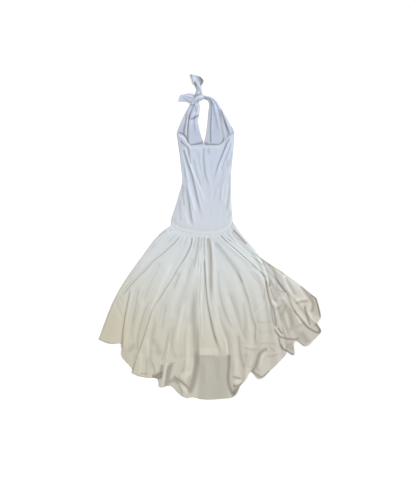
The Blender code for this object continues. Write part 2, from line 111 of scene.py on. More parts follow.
# %% [markdown]
# ## The floor
#
# A plain pale floor takes the soft contact shadow, which shows that the dress lies on
# something. One huge square does it, so wide that its edge is far off in a low view from
# the side too. It is stage, not part of the dress.

# %% The floor
FLOOR = 500
floor_mesh = bpy.data.meshes.new("floor")
floor_corners = [(-FLOOR, -FLOOR, 0), (FLOOR, -FLOOR, 0), (FLOOR, FLOOR, 0), (-FLOOR, FLOOR, 0)]
floor_mesh.from_pydata(floor_corners, [], [(0, 1, 2, 3)])
floor = bpy.data.objects.new("floor", floor_mesh)
bpy.context.scene.collection.objects.link(floor)
floor_finish = bpy.data.materials.new("pale floor")
floor_finish.use_nodes = True
floor_shader = floor_finish.node_tree.nodes["Principled BSDF"]
floor_shader.inputs["Base Color"].default_value = (0.97, 0.97, 0.97, 1)
floor_shader.inputs["Roughness"].default_value = 0.95
floor_shader.inputs["Specular IOR Level"].default_value = 0.1
floor_mesh.materials.append(floor_finish)

# %% [markdown]
# ## The light
#
# The picture has no hard shadow, only a gentle turn from light to shade on the folds. So an
# even, warm white sky gives much of the light, and two lamps give the rest. A sun lamp with
# a wide angle is the simplest soft light, because it is equally strong all over the dress.
# The key light comes from the right, halfway up, because the slopes that face right are the
# bright ones in the picture. A weaker lamp beyond the neck keeps the other slopes open.
# Each row of the table gives a lamp's bearing and height and how wide it is, all in
# degrees, and then its strength and its colour.

# %% The light
SKY_STRENGTH = 0.555
SKY_COLOUR = (1.0, 0.965, 0.91)
LAMPS = [
    ("key light", 25, 46, 28, 2.15, (0.94, 0.985, 1.0)),
    ("second light", 115, 45, 40, 0.61, (1.0, 0.99, 0.95)),
]
world = bpy.data.worlds.new("even sky")
world.use_nodes = True
world.node_tree.nodes["Background"].inputs["Color"].default_value = (*SKY_COLOUR, 1)
world.node_tree.nodes["Background"].inputs["Strength"].default_value = SKY_STRENGTH
bpy.context.scene.world = world
bpy.context.scene.view_settings.view_transform = "Standard"
bpy.context.scene.view_settings.look = "None"
for name, bearing, height, width, strength, colour in LAMPS:
    lamp_data = bpy.data.lights.new(name, "SUN")
    lamp_data.angle = math.radians(width)
    lamp_data.energy = strength
    lamp_data.color = colour
    lamp = bpy.data.objects.new(name, lamp_data)
    bearing = math.radians(bearing)
    towards = Vector((math.cos(bearing), math.sin(bearing), math.tan(math.radians(height))))
    lamp.rotation_euler = towards.to_track_quat("Z", "Y").to_euler()
    bpy.context.scene.collection.objects.link(lamp)
print("sky and", len(LAMPS), "soft lamps")

# %% [markdown]
# ## The finish of the cloth
#
# The cloth is a fine jersey knit. Seen close, it has narrow upright ribs, the wales, about
# a millimetre apart, each a chain of small V shapes. Seen from a distance it is matt with
# a faint bloom at grazing angles, because short fibres stand up from it. The sheen is that
# bloom. The ribs themselves are finer than a pixel. So the bump's two waves are wider, 7 mm
# across the ribs and 10 mm along them, and stand for the unevenness of many ribs together.
# They follow the cloth, not the room, so each sheet has a UV map in metres of its own cloth.
#
# A finish needs the same few nodes again and again. So small helpers come first: one adds a
# node, one moves a value to another range, one mixes two colours and one makes a ramp.

# %% Nodes of a finish


def node(tree, kind, **settings):
    """A new shader node with its settings and unlinked inputs filled in."""
    new = tree.nodes.new(kind)
    for key, value in settings.items():
        if key in new.inputs:
            new.inputs[key].default_value = value
        else:
            setattr(new, key, value)
    return new


def ranged(tree, value, low, high, to_low=0.0, to_high=1.0, clamp=True):
    """A value between low and high, moved to another range."""
    span = node(tree, "ShaderNodeMapRange", clamp=clamp)
    numbers = {"From Min": low, "From Max": high, "To Min": to_low, "To Max": to_high}
    for name, number in numbers.items():
        span.inputs[name].default_value = number
    tree.links.new(value, span.inputs["Value"])
    return span.outputs["Result"]


def mixed(tree, first, second, share, blend_type="MIX"):
    """Two colours mixed. A colour is fixed, or comes out of another node, as the share does."""
    mix = node(tree, "ShaderNodeMix", data_type="RGBA", blend_type=blend_type)
    for socket, value in ((mix.inputs["Factor"], share), (mix.inputs[6], first), (mix.inputs[7], second)):
        if isinstance(value, bpy.types.NodeSocket):
            tree.links.new(value, socket)
        else:
            socket.default_value = (*value, 1) if isinstance(value, tuple) else value
    return mix.outputs[2]


def colour_ramp(tree, value, stops):
    """A straight ramp through some colours at their positions, from 0 to 1."""
    ramp = node(tree, "ShaderNodeValToRGB")
    elements = ramp.color_ramp.elements
    for k, (position, colour) in enumerate([stops[0], stops[-1], *stops[1:-1]]):
        element = elements[k] if k < 2 else elements.new(position)
        element.position = position
        element.color = (*colour, 1)
    tree.links.new(value, ramp.inputs["Fac"])
    return ramp.outputs["Color"]


def attribute(tree, name):
    """What a sheet carries at each of its points under a name."""
    return node(tree, "ShaderNodeAttribute", attribute_name=name).outputs["Fac"]


# %% [markdown]
# ## The white
#
# In the picture the white goes from a warm white at the hem over a plain one to a cool and
# then a bluish one at the bodice, as daylight mixes with the room's light. One ramp up the
# dress paints the colour and brightness of that light into the tone of the cloth, and the
# warm part reaches further up at the sides.
# Near the hem the left side is a little yellower and the right side more lilac, which is a
# cast that the tone is multiplied by.

# %% The tones of the white
BLUE_WHITE = (0.50, 0.555, 0.695)
COOL_WHITE = (0.503, 0.552, 0.665)
PLAIN_WHITE = (0.571, 0.596, 0.607)
WARM_WHITE = (0.508, 0.487, 0.424)
PLAIN_AT, COOL_AT, BLUE_AT = 0.385, 0.70, 0.82
TONE_SIDEWAYS = 0.25
LEFT_CAST, NO_CAST, RIGHT_CAST = (1.0, 0.975, 0.90), (1.0, 1.0, 1.0), (0.97, 0.96, 1.0)
LEFT_CAST_AT, RIGHT_CAST_AT = -0.5, 0.4
NO_CAST_FROM, NO_CAST_TO = 0.3, 0.55
HEM_PART_END, UPPER_PART_START = 0.15, 0.36


def painted_light_tone(tree, place, warm_up_to):
    """The tone of the white at a place, with the painted colour of the light, and 0 near the hem to 1 further
    up the dress.
    """
    at = node(tree, "ShaderNodeSeparateXYZ")
    tree.links.new(place, at.inputs[0])
    sideways = node(tree, "ShaderNodeMath", operation="ABSOLUTE")
    tree.links.new(at.outputs["X"], sideways.inputs[0])
    lowered = node(tree, "ShaderNodeMath", operation="MULTIPLY_ADD")
    lowered.inputs[1].default_value = -TONE_SIDEWAYS
    tree.links.new(sideways.outputs[0], lowered.inputs[0])
    tree.links.new(at.outputs["Y"], lowered.inputs[2])
    along_dress = ranged(tree, lowered.outputs[0], cad_box[0][1], cad_box[1][1])
    tone = colour_ramp(tree, along_dress, [
        (0, WARM_WHITE), (warm_up_to, WARM_WHITE), (PLAIN_AT, PLAIN_WHITE),
        (COOL_AT, COOL_WHITE), (BLUE_AT, BLUE_WHITE), (1, BLUE_WHITE),
    ])
    up_from_hem = ranged(tree, along_dress, HEM_PART_END, UPPER_PART_START)
    across = ranged(tree, at.outputs["X"], LEFT_CAST_AT, RIGHT_CAST_AT)
    cast = colour_ramp(tree, across, [
        (0, LEFT_CAST), (NO_CAST_FROM, NO_CAST), (NO_CAST_TO, NO_CAST), (1, RIGHT_CAST),
    ])
    cast = mixed(tree, cast, NO_CAST, up_from_hem)
    return mixed(tree, tone, cast, 1.0, "MULTIPLY"), up_from_hem


# %% [markdown]
# ## Layers and folds
#
# Where the cloth lies double, the layer below lightens it, and a single layer looks greyer.
# Deep in a fold it is darker and warmer, because light gets there only through other cloth.
# A thin opaque wall shows neither, so both are painted into the colour from attributes that
# each sheet carries. Layers is how much cloth lies there, and paints the light through the
# cloth; it also carries the painted highlights on the ridges. Closed is how deep in a fold
# the place is, from 0 to 1, and paints the shade there. A faint mottle keeps the white from
# looking like paint.

# %% The knit
# the texture has 20 / (2 pi) waves in a metre at scale 1, so these are 7 and 10 mm long
ACROSS_RIBS, ALONG_RIBS = 45.0, 31.0
WAVE_HEIGHT = 0.2 * MM
ALONG_SHARE = 0.45
SINGLE_LAYER = 0.83
# the colours of the painted shade in the creases, near the hem and further up
HEM_PAINTED_SHADE = (0.43, 0.377, 0.375)
UPPER_PAINTED_SHADE = (0.47, 0.38, 0.265)
MOTTLE = 0.03
MOTTLE_PER_METRE = 38.0
SURFACE = {
    "Roughness": 0.82, "Specular IOR Level": 0.25, "Sheen Weight": 0.18, "Sheen Roughness": 0.55,
}


def ribbed(tree):
    """The surface direction over the two waves of the knit."""
    knit = node(tree, "ShaderNodeMath", operation="MULTIPLY_ADD")
    knit.inputs[1].default_value = ALONG_SHARE
    cloth_map = node(tree, "ShaderNodeUVMap", uv_map="cloth").outputs["UV"]
    for direction, scale, distortion, socket in (("X", ACROSS_RIBS, 0.4, 2), ("Y", ALONG_RIBS, 0.0, 0)):
        wave = node(tree, "ShaderNodeTexWave", bands_direction=direction, Distortion=distortion)
        wave.inputs["Scale"].default_value = scale
        tree.links.new(cloth_map, wave.inputs["Vector"])
        tree.links.new(wave.outputs["Fac"], knit.inputs[socket])
    bump = node(tree, "ShaderNodeBump", Strength=0.22, Distance=WAVE_HEIGHT)
    tree.links.new(knit.outputs[0], bump.inputs["Height"])
    return bump.outputs["Normal"]


def jersey(name, lightness, warm_up_to):
    """The white jersey as a material: its tone in the painted colour of the light, the painted shade of its
    folds, the painted light of its layers, its mottle and its ribs.
    """
    finish = bpy.data.materials.new(name)
    finish.use_nodes = True
    tree = finish.node_tree
    link = tree.links.new
    shader = tree.nodes["Principled BSDF"]
    for socket, value in SURFACE.items():
        shader.inputs[socket].default_value = value
    place = node(tree, "ShaderNodeTexCoord").outputs["Object"]
    tone, up_from_hem = painted_light_tone(tree, place, warm_up_to)
    # painted shade: the tone is multiplied towards these colours where the attribute closed is high
    tint = mixed(tree, HEM_PAINTED_SHADE, UPPER_PAINTED_SHADE, up_from_hem)
    tinted = mixed(tree, tone, tint, attribute(tree, "closed"), "MULTIPLY")
    # painted light through the cloth and painted highlights on the ridges, from the attribute layers
    shade = ranged(tree, attribute(tree, "layers"), 0, 1, SINGLE_LAYER, 1.0, clamp=False)
    mottle = node(tree, "ShaderNodeTexNoise", Scale=MOTTLE_PER_METRE, Detail=4.0)
    link(place, mottle.inputs["Vector"])
    least, most = (1 - MOTTLE) * lightness, (1 + MOTTLE) * lightness
    brightness = node(tree, "ShaderNodeMath", operation="MULTIPLY")
    link(shade, brightness.inputs[0])
    link(ranged(tree, mottle.outputs["Fac"], 0, 1, least, most), brightness.inputs[1])
    scaled = node(tree, "ShaderNodeVectorMath", operation="SCALE")
    link(tinted, scaled.inputs[0])
    link(brightness.outputs[0], scaled.inputs["Scale"])
    link(scaled.outputs[0], shader.inputs["Base Color"])
    link(ribbed(tree), shader.inputs["Normal"])
    return finish


# painted light: the front skirt's copy is lighter, and its warm white reaches further up, for the brighter
# light on its heap
right_side = jersey("white jersey, right side", 1.0, 0.17)
front_side = jersey("white jersey, front skirt", 1.05, 0.22)
wrong_side = jersey("white jersey, wrong side", 0.95, 0.17)
print("finishes:", ", ".join(m.name for m in (right_side, front_side, wrong_side)))

# %% [markdown]
# ## Smooth lines through measured points
#
# Every line of the dress, such as a seam, an edge or a fold, starts as a few points that
# were measured off the photograph. A cubic curve runs through them smoothly. The helpers
# below work on whole arrays at once, so a sheet of fifty thousand points takes a moment.

# %% Curves and steps


def ease(share):
    """A smooth step from 0 to 1."""
    share = np.clip(share, 0.0, 1.0)
    return share * share * (3 - 2 * share)


def through(points, stations, at, start_slope=None):
    """The points at some stations of a smooth curve through points, one for each station."""
    points = np.asarray(points, float)
    stations = np.asarray(stations, float)
    at = np.atleast_1d(np.asarray(at, float))
    last = len(points) - 1
    after = np.minimum(np.arange(last + 1) + 1, last)
    before = np.maximum(np.arange(last + 1) - 1, 0)
    slopes = (points[after] - points[before]) / (stations[after] - stations[before])[:, None]
    if start_slope is not None:
        slopes[0] = start_slope
    k = np.clip(np.searchsorted(stations, at, side="right") - 1, 0, last - 1)
    span = stations[k + 1] - stations[k]
    t = (at - stations[k]) / span
    return (
        (2 * t**3 - 3 * t**2 + 1)[:, None] * points[k]
        + ((t**3 - 2 * t**2 + t) * span)[:, None] * slopes[k]
        + (3 * t**2 - 2 * t**3)[:, None] * points[k + 1]
        + ((t**3 - t**2) * span)[:, None] * slopes[k + 1]
    )


def lengths_along(points):
    """The distance along a line of points at each of them, seen from above."""
    steps = np.diff(np.asarray(points, float)[:, :2], axis=0)
    return np.concatenate([[0.0], np.cumsum(np.hypot(steps[:, 0], steps[:, 1]))])


def along(points, shares):
    """The points at some shares of the length of a smooth line through points."""
    lengths = lengths_along(points)
    return through(points, lengths, np.asarray(shares, float) * lengths[-1])


# %% [markdown]
# ## The hip seam
#
# Bodice and skirts meet in one arc. It is measured once, and all four pieces that meet
# there take their edge from it, a hair to each side, so they can't drift apart.

# %% The seam line
HIP_SEAM = [
    (-201, 59), (-160, 33), (-114, 21), (-69, 13), (-33, 9),
    (32, 12), (69, 22), (94, 36), (110, 56), (118, 82),
]
HALF_GAP = 0.15
LAYER = 1.9


def hip_seam(shares, away=0.0):
    """Points of the hip seam, moved away from it towards the hem."""
    shares = np.atleast_1d(np.asarray(shares, float))
    ahead = along(HIP_SEAM, np.minimum(shares + 0.004, 1))
    behind = along(HIP_SEAM, np.maximum(shares - 0.004, 0))
    run = np.hypot(*(ahead - behind).T)
    out = np.column_stack([ahead[:, 1] - behind[:, 1], behind[:, 0] - ahead[:, 0]])
    return along(HIP_SEAM, shares) + away * out / run[:, None]


print("hip seam", round(lengths_along(along(HIP_SEAM, np.linspace(0, 1, 200)))[-1]), "mm long")

# %% [markdown]
# ## A sheet of cloth
#
# A sheet could be one layer of faces, or a wall with a thickness. A real hem shows an
# edge, and a solid part has to be closed, so each sheet here is a wall 0.9 mm thick: a top
# and a bottom, half a thickness to either side of its middle, joined by a rounded rim.
# Turned hems are the same cloth folded over, so the wall is thicker along them. The first
# helper makes the object, with its map and its attributes, and the others make the wall.

# %% A piece of cloth


def piece_of_cloth(name, points, faces, flat, carried, finish):
    """A smooth object from points in millimetres, with its flat map and its attributes."""
    mesh = bpy.data.meshes.new(name)
    mesh.from_pydata((points * MM).tolist(), [], faces)
    mesh.update()
    corner = np.empty(len(mesh.loops), np.int32)
    mesh.loops.foreach_get("vertex_index", corner)
    mesh.uv_layers.new(name="cloth").data.foreach_set("uv", (flat * MM)[corner].ravel())
    for attribute_name, values in carried.items():
        values = np.broadcast_to(values, len(points)).astype(np.float32)
        mesh.attributes.new(attribute_name, "FLOAT", "POINT").data.foreach_set("value", values)
    mesh.shade_smooth()
    mesh.materials.append(finish)
    piece = bpy.data.objects.new(name, mesh)
    bpy.context.scene.collection.objects.link(piece)
    return piece


# %% Wall around a grid
CLOTH = 0.9
RIM_ROUND = 0.3
ABOVE_FLOOR = 0.12
GRIDS = {}


def sheet_normals(middle):
    """The direction that each point of a grid faces, upwards where it lies flat."""
    across = np.gradient(middle, axis=0)
    down = np.gradient(middle, axis=1)
    out = np.cross(down, across)
    size = np.linalg.norm(out, axis=2, keepdims=True)
    return out / np.maximum(size, 1e-9)


def rim_of(columns, rows):
    """The numbers of the points around the edge of a grid, in order."""
    left = [row for row in range(rows - 1)]
    foot = [column * rows + rows - 1 for column in range(columns - 1)]
    right = [(columns - 1) * rows + row for row in range(rows - 1, 0, -1)]
    head = [column * rows for column in range(columns - 1, 0, -1)]
    return np.array(left + foot + right + head)


def rounded_rim(middle, thickness, rim):
    """Points just outside the edge of a grid, which round the wall's rim off."""
    inwards = np.zeros_like(middle)
    inwards[0] += middle[1] - middle[0]
    inwards[-1] += middle[-2] - middle[-1]
    inwards[:, 0] += middle[:, 1] - middle[:, 0]
    inwards[:, -1] += middle[:, -2] - middle[:, -1]
    inwards = inwards.reshape(-1, 3)[rim]
    inwards /= np.maximum(np.linalg.norm(inwards, axis=1, keepdims=True), 1e-9)
    return middle.reshape(-1, 3)[rim] - inwards * RIM_ROUND * thickness.reshape(-1, 1)[rim]


def wall_faces(columns, rows, rim):
    """The faces of a wall's top and bottom, and of the two strips around its rim."""
    count = columns * rows
    index = np.arange(count).reshape(columns, rows)
    a, b = index[:-1, :-1].ravel(), index[:-1, 1:].ravel()
    c, d = index[1:, 1:].ravel(), index[1:, :-1].ravel()
    here = 2 * count + np.arange(len(rim))
    there = np.roll(here, -1)
    following = np.roll(rim, -1)
    return np.concatenate([
        np.column_stack([a, b, c, d]),
        np.column_stack([d, c, b, a]) + count,
        np.column_stack([rim, here, there, following]),
        np.column_stack([here, rim + count, following + count, there]),
    ]).tolist()


def flat_map(middle):
    """Where each point of a grid lies on the cloth while it is flat, in millimetres."""
    steps_across = np.linalg.norm(np.diff(middle, axis=0), axis=2)
    steps_down = np.linalg.norm(np.diff(middle, axis=1), axis=2)
    u = np.concatenate([[0], np.cumsum(steps_across.mean(axis=1))])
    v = np.concatenate([[0], np.cumsum(steps_down.mean(axis=0))])
    return np.stack(np.meshgrid(u, -v, indexing="ij"), axis=2).reshape(-1, 2)


# %% Cloth around a grid


def cloth_sheet(name, middle, finish, thickness=CLOTH, layers=1.0, closed=0.0):
    """A closed thin wall around a grid of points in millimetres, columns then rows."""
    shape = middle.shape[:2]
    thickness = np.broadcast_to(thickness, shape)
    GRIDS[name] = (middle, thickness)
    rim = rim_of(*shape)
    half = sheet_normals(middle) * thickness[..., None] / 2
    upper, lower = (middle + half).reshape(-1, 3), (middle - half).reshape(-1, 3)
    points = np.concatenate([upper, lower, rounded_rim(middle, thickness, rim)])
    points[:, :2] += CENTRED
    points[:, 2] = np.maximum(points[:, 2], ABOVE_FLOOR)
    flat = flat_map(middle)
    # layers carries the painted light through the cloth and the painted highlights; closed carries the
    # painted shade in the creases
    carried = {
        "layers": np.broadcast_to(layers - np.minimum(closed, 0), shape).reshape(-1),
        "closed": np.broadcast_to(np.maximum(closed, 0), shape).reshape(-1),
    }
    for key, values in carried.items():
        carried[key] = np.concatenate([values, values, values[rim]])
    flat = np.concatenate([flat, flat, flat[rim]])
    piece = piece_of_cloth(name, points, wall_faces(*shape, rim), flat, carried, finish)
    first, second = middle[1:, 1:] - middle[:-1, :-1], middle[1:, :-1] - middle[:-1, 1:]
    area = np.linalg.norm(np.cross(first, second), axis=2).sum() / 2
    print(f"{name}: {shape[0]} x {shape[1]} points, {area * MM * MM:.3f} m2 of cloth, "
          f"top at {points[:, 2].max():.1f} mm")
    return piece


# %% [markdown]
# ## Creases
#
# A simulation could let the skirt fall into folds of its own, but they would not be this
# dress's folds. So each crease is laid one by one, along a line that was placed on the
# photograph. A crease in limp cloth is a groove between two lips, and it is rarely even: one
# lip often stands higher and leans over the groove. Eight kinds are enough for this cloth.
# A crease whose kind is closed above 0 gets painted shade in its groove, darker and warmer,
# and one below 0 gets a painted highlight on its ridge.
#
# A row of a crease table gives its name, its kind and its size, then its half width and
# how far it fades in and out at its ends, in millimetres, and its line in the photograph's
# pixels. The first lip is on the left of a line that goes down, below one that goes right.

# %% Kinds of crease
# depth of the groove, rise of its first and second lip, reach of a lip, and closed, for a
# crease of size 1 that is KIND_WIDTH wide; the first four grow with the root of the width;
# closed above 0 is painted shade in the groove, below 0 a painted highlight on the ridge
KINDS_OF_CREASE = {
    "pleat": (3.0, -1.4, 3.4, 13, 0.15),
    "dark pleat": (2.6, -1.2, 3.3, 12, 0.45),
    "slit": (1.9, 0.2, 0.8, 8, 0.6),
    "dark": (1.2, 0.2, 0.6, 8, 0.9),
    "hollow": (3.0, -1.6, -0.8, 11, 0.1),
    "valley": (0.6, -1.2, 3.2, 15, 0.35),
    "ridge": (-2.4, 0.4, 0.5, 8, -0.55),
    "right side up": (0.0, -3.0, 3.2, 11, 0.05),
}
KIND_WIDTH = 5.0
ONE_PIXEL = FLOOR_PER_PIXEL / MM


def on_the_cloth(line):
    """A line in the photograph's pixels, in millimetres on the floor."""
    return (np.array(line) - ORIGIN_PIXEL) * (ONE_PIXEL, -ONE_PIXEL)


def beside_line(points, line):
    """Distances from a line, the side (above 0 on its right), the way along it and out of it."""
    done = lengths_along(line)
    nearest = np.full(len(points), np.inf)
    side = np.zeros(len(points))
    at = np.zeros(len(points))
    out = np.zeros((len(points), 2))
    for k, (a, b) in enumerate(zip(line, line[1:])):
        run = b - a
        size = math.hypot(*run)
        share = np.clip((points - a) @ run / size**2, 0, 1)
        away = points - a - share[:, None] * run
        distance = np.hypot(away[:, 0], away[:, 1])
        closer = distance < nearest
        first = np.array([run[1], -run[0]]) / size
        nearest[closer] = distance[closer]
        side[closer] = (away @ first)[closer]
        at[closer] = (done[k] + share * size)[closer]
        out[closer] = first
    return nearest, side, at, out


# %% Laying creases
CREASE_COLUMNS = ("name", "kind", "size", "width", "fade_in", "fade_out", "line")
CREASE_STEP = 5.0
LIP_AT = 1.35
LIP_LEAN = 0.45
PAINTED_SHADE_WIDTH = 1.6


def bump(t):
    """A smooth bump, 1 at 0 and 0 from 1 on."""
    return np.cos(np.clip(np.abs(t), 0, 1) * math.pi / 2) ** 2


def lay_creases(middle, table, fade=1.0):
    """Presses the creases of a table into a grid, leans their lips over, and gives each point its painted
    shade, above 0, and its painted highlight, below 0.
    """
    flat = middle.reshape(-1, 3)
    plan = flat[:, :2].copy()
    closed = np.zeros(len(flat))
    painted_highlight = np.zeros(len(flat))
    fade = np.broadcast_to(fade, middle.shape[:2]).reshape(-1)
    for row in table:
        crease = dict(zip(CREASE_COLUMNS, row))
        size, width = crease["size"], crease["width"]
        *heights, reach, shut = KINDS_OF_CREASE[crease["kind"]]
        grown = math.sqrt(width / KIND_WIDTH)
        depth, first_rise, second_rise = size * grown * np.array(heights)
        reach *= grown
        line = on_the_cloth(crease["line"])
        steps = max(3, int(lengths_along(line)[-1] / CREASE_STEP))
        line = along(line, np.linspace(0, 1, steps + 1))
        far = LIP_AT * width + reach
        low, high = line.min(0) - far, line.max(0) + far
        near = np.flatnonzero(np.all((plan > low) & (plan < high), axis=1))
        nearest, side, at, out = beside_line(plan[near], line)
        ends = fade[near]
        if crease["fade_in"] > 0:
            ends = ends * ease(at / crease["fade_in"])
        if crease["fade_out"] > 0:
            ends = ends * ease((lengths_along(line)[-1] - at) / crease["fade_out"])
        beyond = nearest - LIP_AT * width
        lip = np.where(beyond < 0, bump(beyond / (LIP_AT * width)), bump(beyond / reach))
        lip *= ends * np.where(side > 0, first_rise, second_rise)
        flat[near, 2] += lip - depth * ends * bump(nearest / width)
        flat[near, :2] -= (np.sign(side) * LIP_LEAN * np.maximum(lip, 0))[:, None] * out
        # painted shade in the groove where the kind is closed above 0, a painted highlight on the ridge where
        # it is below 0
        shut = min(1.0, shut * size) * ends * bump(nearest / (PAINTED_SHADE_WIDTH * width))
        closed[near] = np.maximum(closed[near], shut)
        painted_highlight[near] = np.minimum(painted_highlight[near], shut)
    return (closed + painted_highlight).reshape(middle.shape[:2])


# %% [markdown]
# ## The fan of the back skirt
#
# The back skirt is gathered into the short hip seam and falls open like a fan to a hem
# three times as long. So its sheet is a fan too: its columns run from the seam to the hem
# along the folds. Each row of the table is one line of the fan: its share of the seam,
# then its place and its rise at a third of the way down, at two thirds and at the hem.

# %% The folds of the back skirt
FOLD_COLUMNS = (
    "name", "seam", "upper_x", "upper_y", "upper_rise",
    "lower_x", "lower_y", "lower_rise", "hem_x", "hem_y", "hem_rise",
)
FAN_LEFT, FAN_RIGHT = math.radians(209), math.radians(298)
LEAVING = 3.3
DENSE_AT_SEAM, DENSE_AT_HEM = 25, 14
BACK_SKIRT_FOLDS = [
    ("left edge", 0.0, -361, -115, 0, -490, -313, 0, -578, -533, 0),
    ("left crest", 0.07, -318, -118, 8, -452, -315, 7, -515, -553, 7),
    ("left trough", 0.16, -272, -122, 0, -412, -325, 0, -460, -556, 0),
    ("overlap crest", 0.205, -250, -130, 9, -385, -335, 11, -453, -618, 12),
    ("broad trough", 0.275, -202, -155, 1, -325, -370, 1, -414, -672, 0),
    ("long fold crest", 0.325, -170, -160, 11, -290, -355, 12, -401, -687, 9),
    ("long fold groove", 0.35, -156, -164, 0, -276, -362, 0, -404, -706, 0),
    ("left panel crest", 0.385, -133, -170, 9, -235, -400, 10, -340, -728, 8),
    ("left panel trough", 0.42, -110, -185, 2, -195, -460, 1, -270, -739, 0),
    ("step crest", 0.445, -88, -200, 8, -163, -475, 11, -256, -778, 14),
    ("step trough", 0.47, -68, -220, 1, -130, -485, 1, -204, -773, 0),
    ("lobe crest", 0.49, -53, -228, 7, -104, -500, 10, -145, -819, 14),
    ("lobe end", 0.507, -42, -235, 6, -82, -510, 7, -119, -834, 10),
    ("wide trough", 0.525, -31, -240, 0, -60, -515, 0, -88, -833, 0),
    ("centre crest", 0.545, -20, -245, 9, -24, -505, 10, -36, -843, 3),
    ("centre groove", 0.565, -8, -250, 0, 8, -485, 0, 24, -844, 0),
    ("inner crest", 0.585, 6, -250, 8, 36, -485, 9, 70, -839, 3),
    ("panel trough", 0.61, 24, -245, 0, 72, -485, 0, 110, -836, 0),
    ("panel crest", 0.635, 52, -245, 8, 108, -490, 12, 136, -818, 16),
    ("right trough", 0.655, 84, -240, 1, 141, -500, 1, 158, -776, 0),
    ("right crest", 0.675, 114, -225, 9, 186, -480, 11, 186, -741, 12),
    ("right groove", 0.7, 150, -205, 0, 222, -440, 0, 214, -702, 0),
    ("corner crest", 0.735, 190, -200, 10, 262, -425, 12, 262, -736, 13),
    ("corner trough", 0.775, 220, -180, 1, 292, -405, 2, 316, -693, 3),
    ("gather crest", 0.82, 240, -158, 10, 310, -385, 12, 352, -657, 8),
    ("gather groove", 0.87, 251, -142, 0, 322, -374, 0, 375, -634, 0),
    ("side crest", 0.93, 260, -132, 13, 335, -364, 7, 390, -618, 3),
    ("right edge", 1.0, 268, -121, 0, 348, -356, 0, 401, -604, 0),
]


def fold_lines(folds, downs):
    """Where each fold line lies at some shares of the way down: folds, shares, then x, y, rise."""
    lines = []
    for fold in folds:
        row = dict(zip(FOLD_COLUMNS, fold))
        start = np.array([*hip_seam(row["seam"], HALF_GAP)[0], 0.0])
        places = [start] + [
            np.array([row[part + "_x"], row[part + "_y"], row[part + "_rise"]], float)
            for part in ("upper", "lower", "hem")
        ]
        angle = FAN_LEFT + (FAN_RIGHT - FAN_LEFT) * row["seam"]
        reach = LEAVING * np.hypot(*(places[1] - start)[:2])
        leave = (reach * math.cos(angle), reach * math.sin(angle), 0)
        lines.append(through(places, [0, 1 / 3, 2 / 3, 1], downs, leave))
    return np.array(lines)


def fan(folds, columns_between, downs):
    """A fan-shaped grid over some folds, with each column's share of the hip seam."""
    lines = fold_lines(folds, downs)
    place = np.concatenate(
        [k + np.arange(count) / count for k, count in enumerate(columns_between)] + [[len(folds) - 1]]
    )
    k = np.minimum(place.astype(int), len(folds) - 2)
    share = place - k
    seams = np.array([fold[1] for fold in folds])
    seam = seams[k] + (seams[k + 1] - seams[k]) * share
    grid = np.empty((len(place), len(downs), 3))
    for row in range(len(downs)):
        points = lines[:, row]
        stations = lengths_along(points)
        at = stations[k] + (stations[k + 1] - stations[k]) * share
        grid[:, row, :2] = through(points[:, :2], stations, at)
        grid[:, row, 2] = points[k, 2] + (points[k + 1, 2] - points[k, 2]) * ease(share)
    grid[:, 0, :2] = hip_seam(seam, HALF_GAP)
    grid[..., 2] = np.maximum(grid[..., 2], 0)
    return grid, seam


def levels_down(length, count, dense_ends):
    """Shares of the way down, closer together at the seam and the hem."""
    even = np.linspace(0, 1, 400)
    at_seam = np.exp(-even * length / DENSE_AT_SEAM)
    at_hem = np.exp(-(1 - even) * length / DENSE_AT_HEM)
    need = 1 + dense_ends * (at_seam + 1.5 * at_hem)
    sums = np.concatenate([[0], np.cumsum((need[1:] + need[:-1]) / 2)])
    return np.interp(np.linspace(0, sums[-1], count), sums, even)


# %% [markdown]
# ## The back skirt
#
# The sheet takes the fan's plan and its low waves, which are the form that the solid under
# it has. Then come the gathers, the creases and the hem. The gathers are pleats of uneven
# width and length that start all along the seam, as a gathering thread draws them up. They
# are worked out from seeded random numbers, so they are the same on each run.

# %% Gathers
GATHER_SEED = 11
# how many pleats, and how high and how long the largest of them is
GATHERINGS = [(27, 3.2, 260), (61, 1.3, 70)]
PLEAT_SHIFT, PLEAT_DRIFT = 0.3, 0.25
PLEAT_WIDTHS, PLEAT_RISES, PLEAT_RUNS = (0.26, 0.5), (0.35, 1.0), (0.12, 1.0)
PLEAT_START = 7


def gathers(seam_share, depth, count, seed, tallest, longest):
    """The rise of uneven pleats that start at a seam and run out down the cloth."""
    rng = np.random.default_rng(seed)
    starts = (np.arange(count) + rng.uniform(-PLEAT_SHIFT, PLEAT_SHIFT, count) + 0.5) / count
    widths = rng.uniform(*PLEAT_WIDTHS, count) / count
    rises = tallest * rng.uniform(*PLEAT_RISES, count)
    runs = longest * rng.uniform(*PLEAT_RUNS, count) ** 1.6
    drifts = rng.uniform(-PLEAT_DRIFT, PLEAT_DRIFT, count) / count
    total = np.zeros(np.broadcast(seam_share, depth).shape)
    for start, width, rise, run, drift in zip(starts, widths, rises, runs, drifts):
        part = depth / run
        centre = start + drift * np.clip(part, 0, 1)
        spread = width * (1 + 0.5 * np.clip(part, 0, 1))
        bell = np.exp(-(((seam_share - centre) / spread) ** 2))
        total += rise * bell * (1 - ease(part)) * ease(depth / PLEAT_START)
    return total
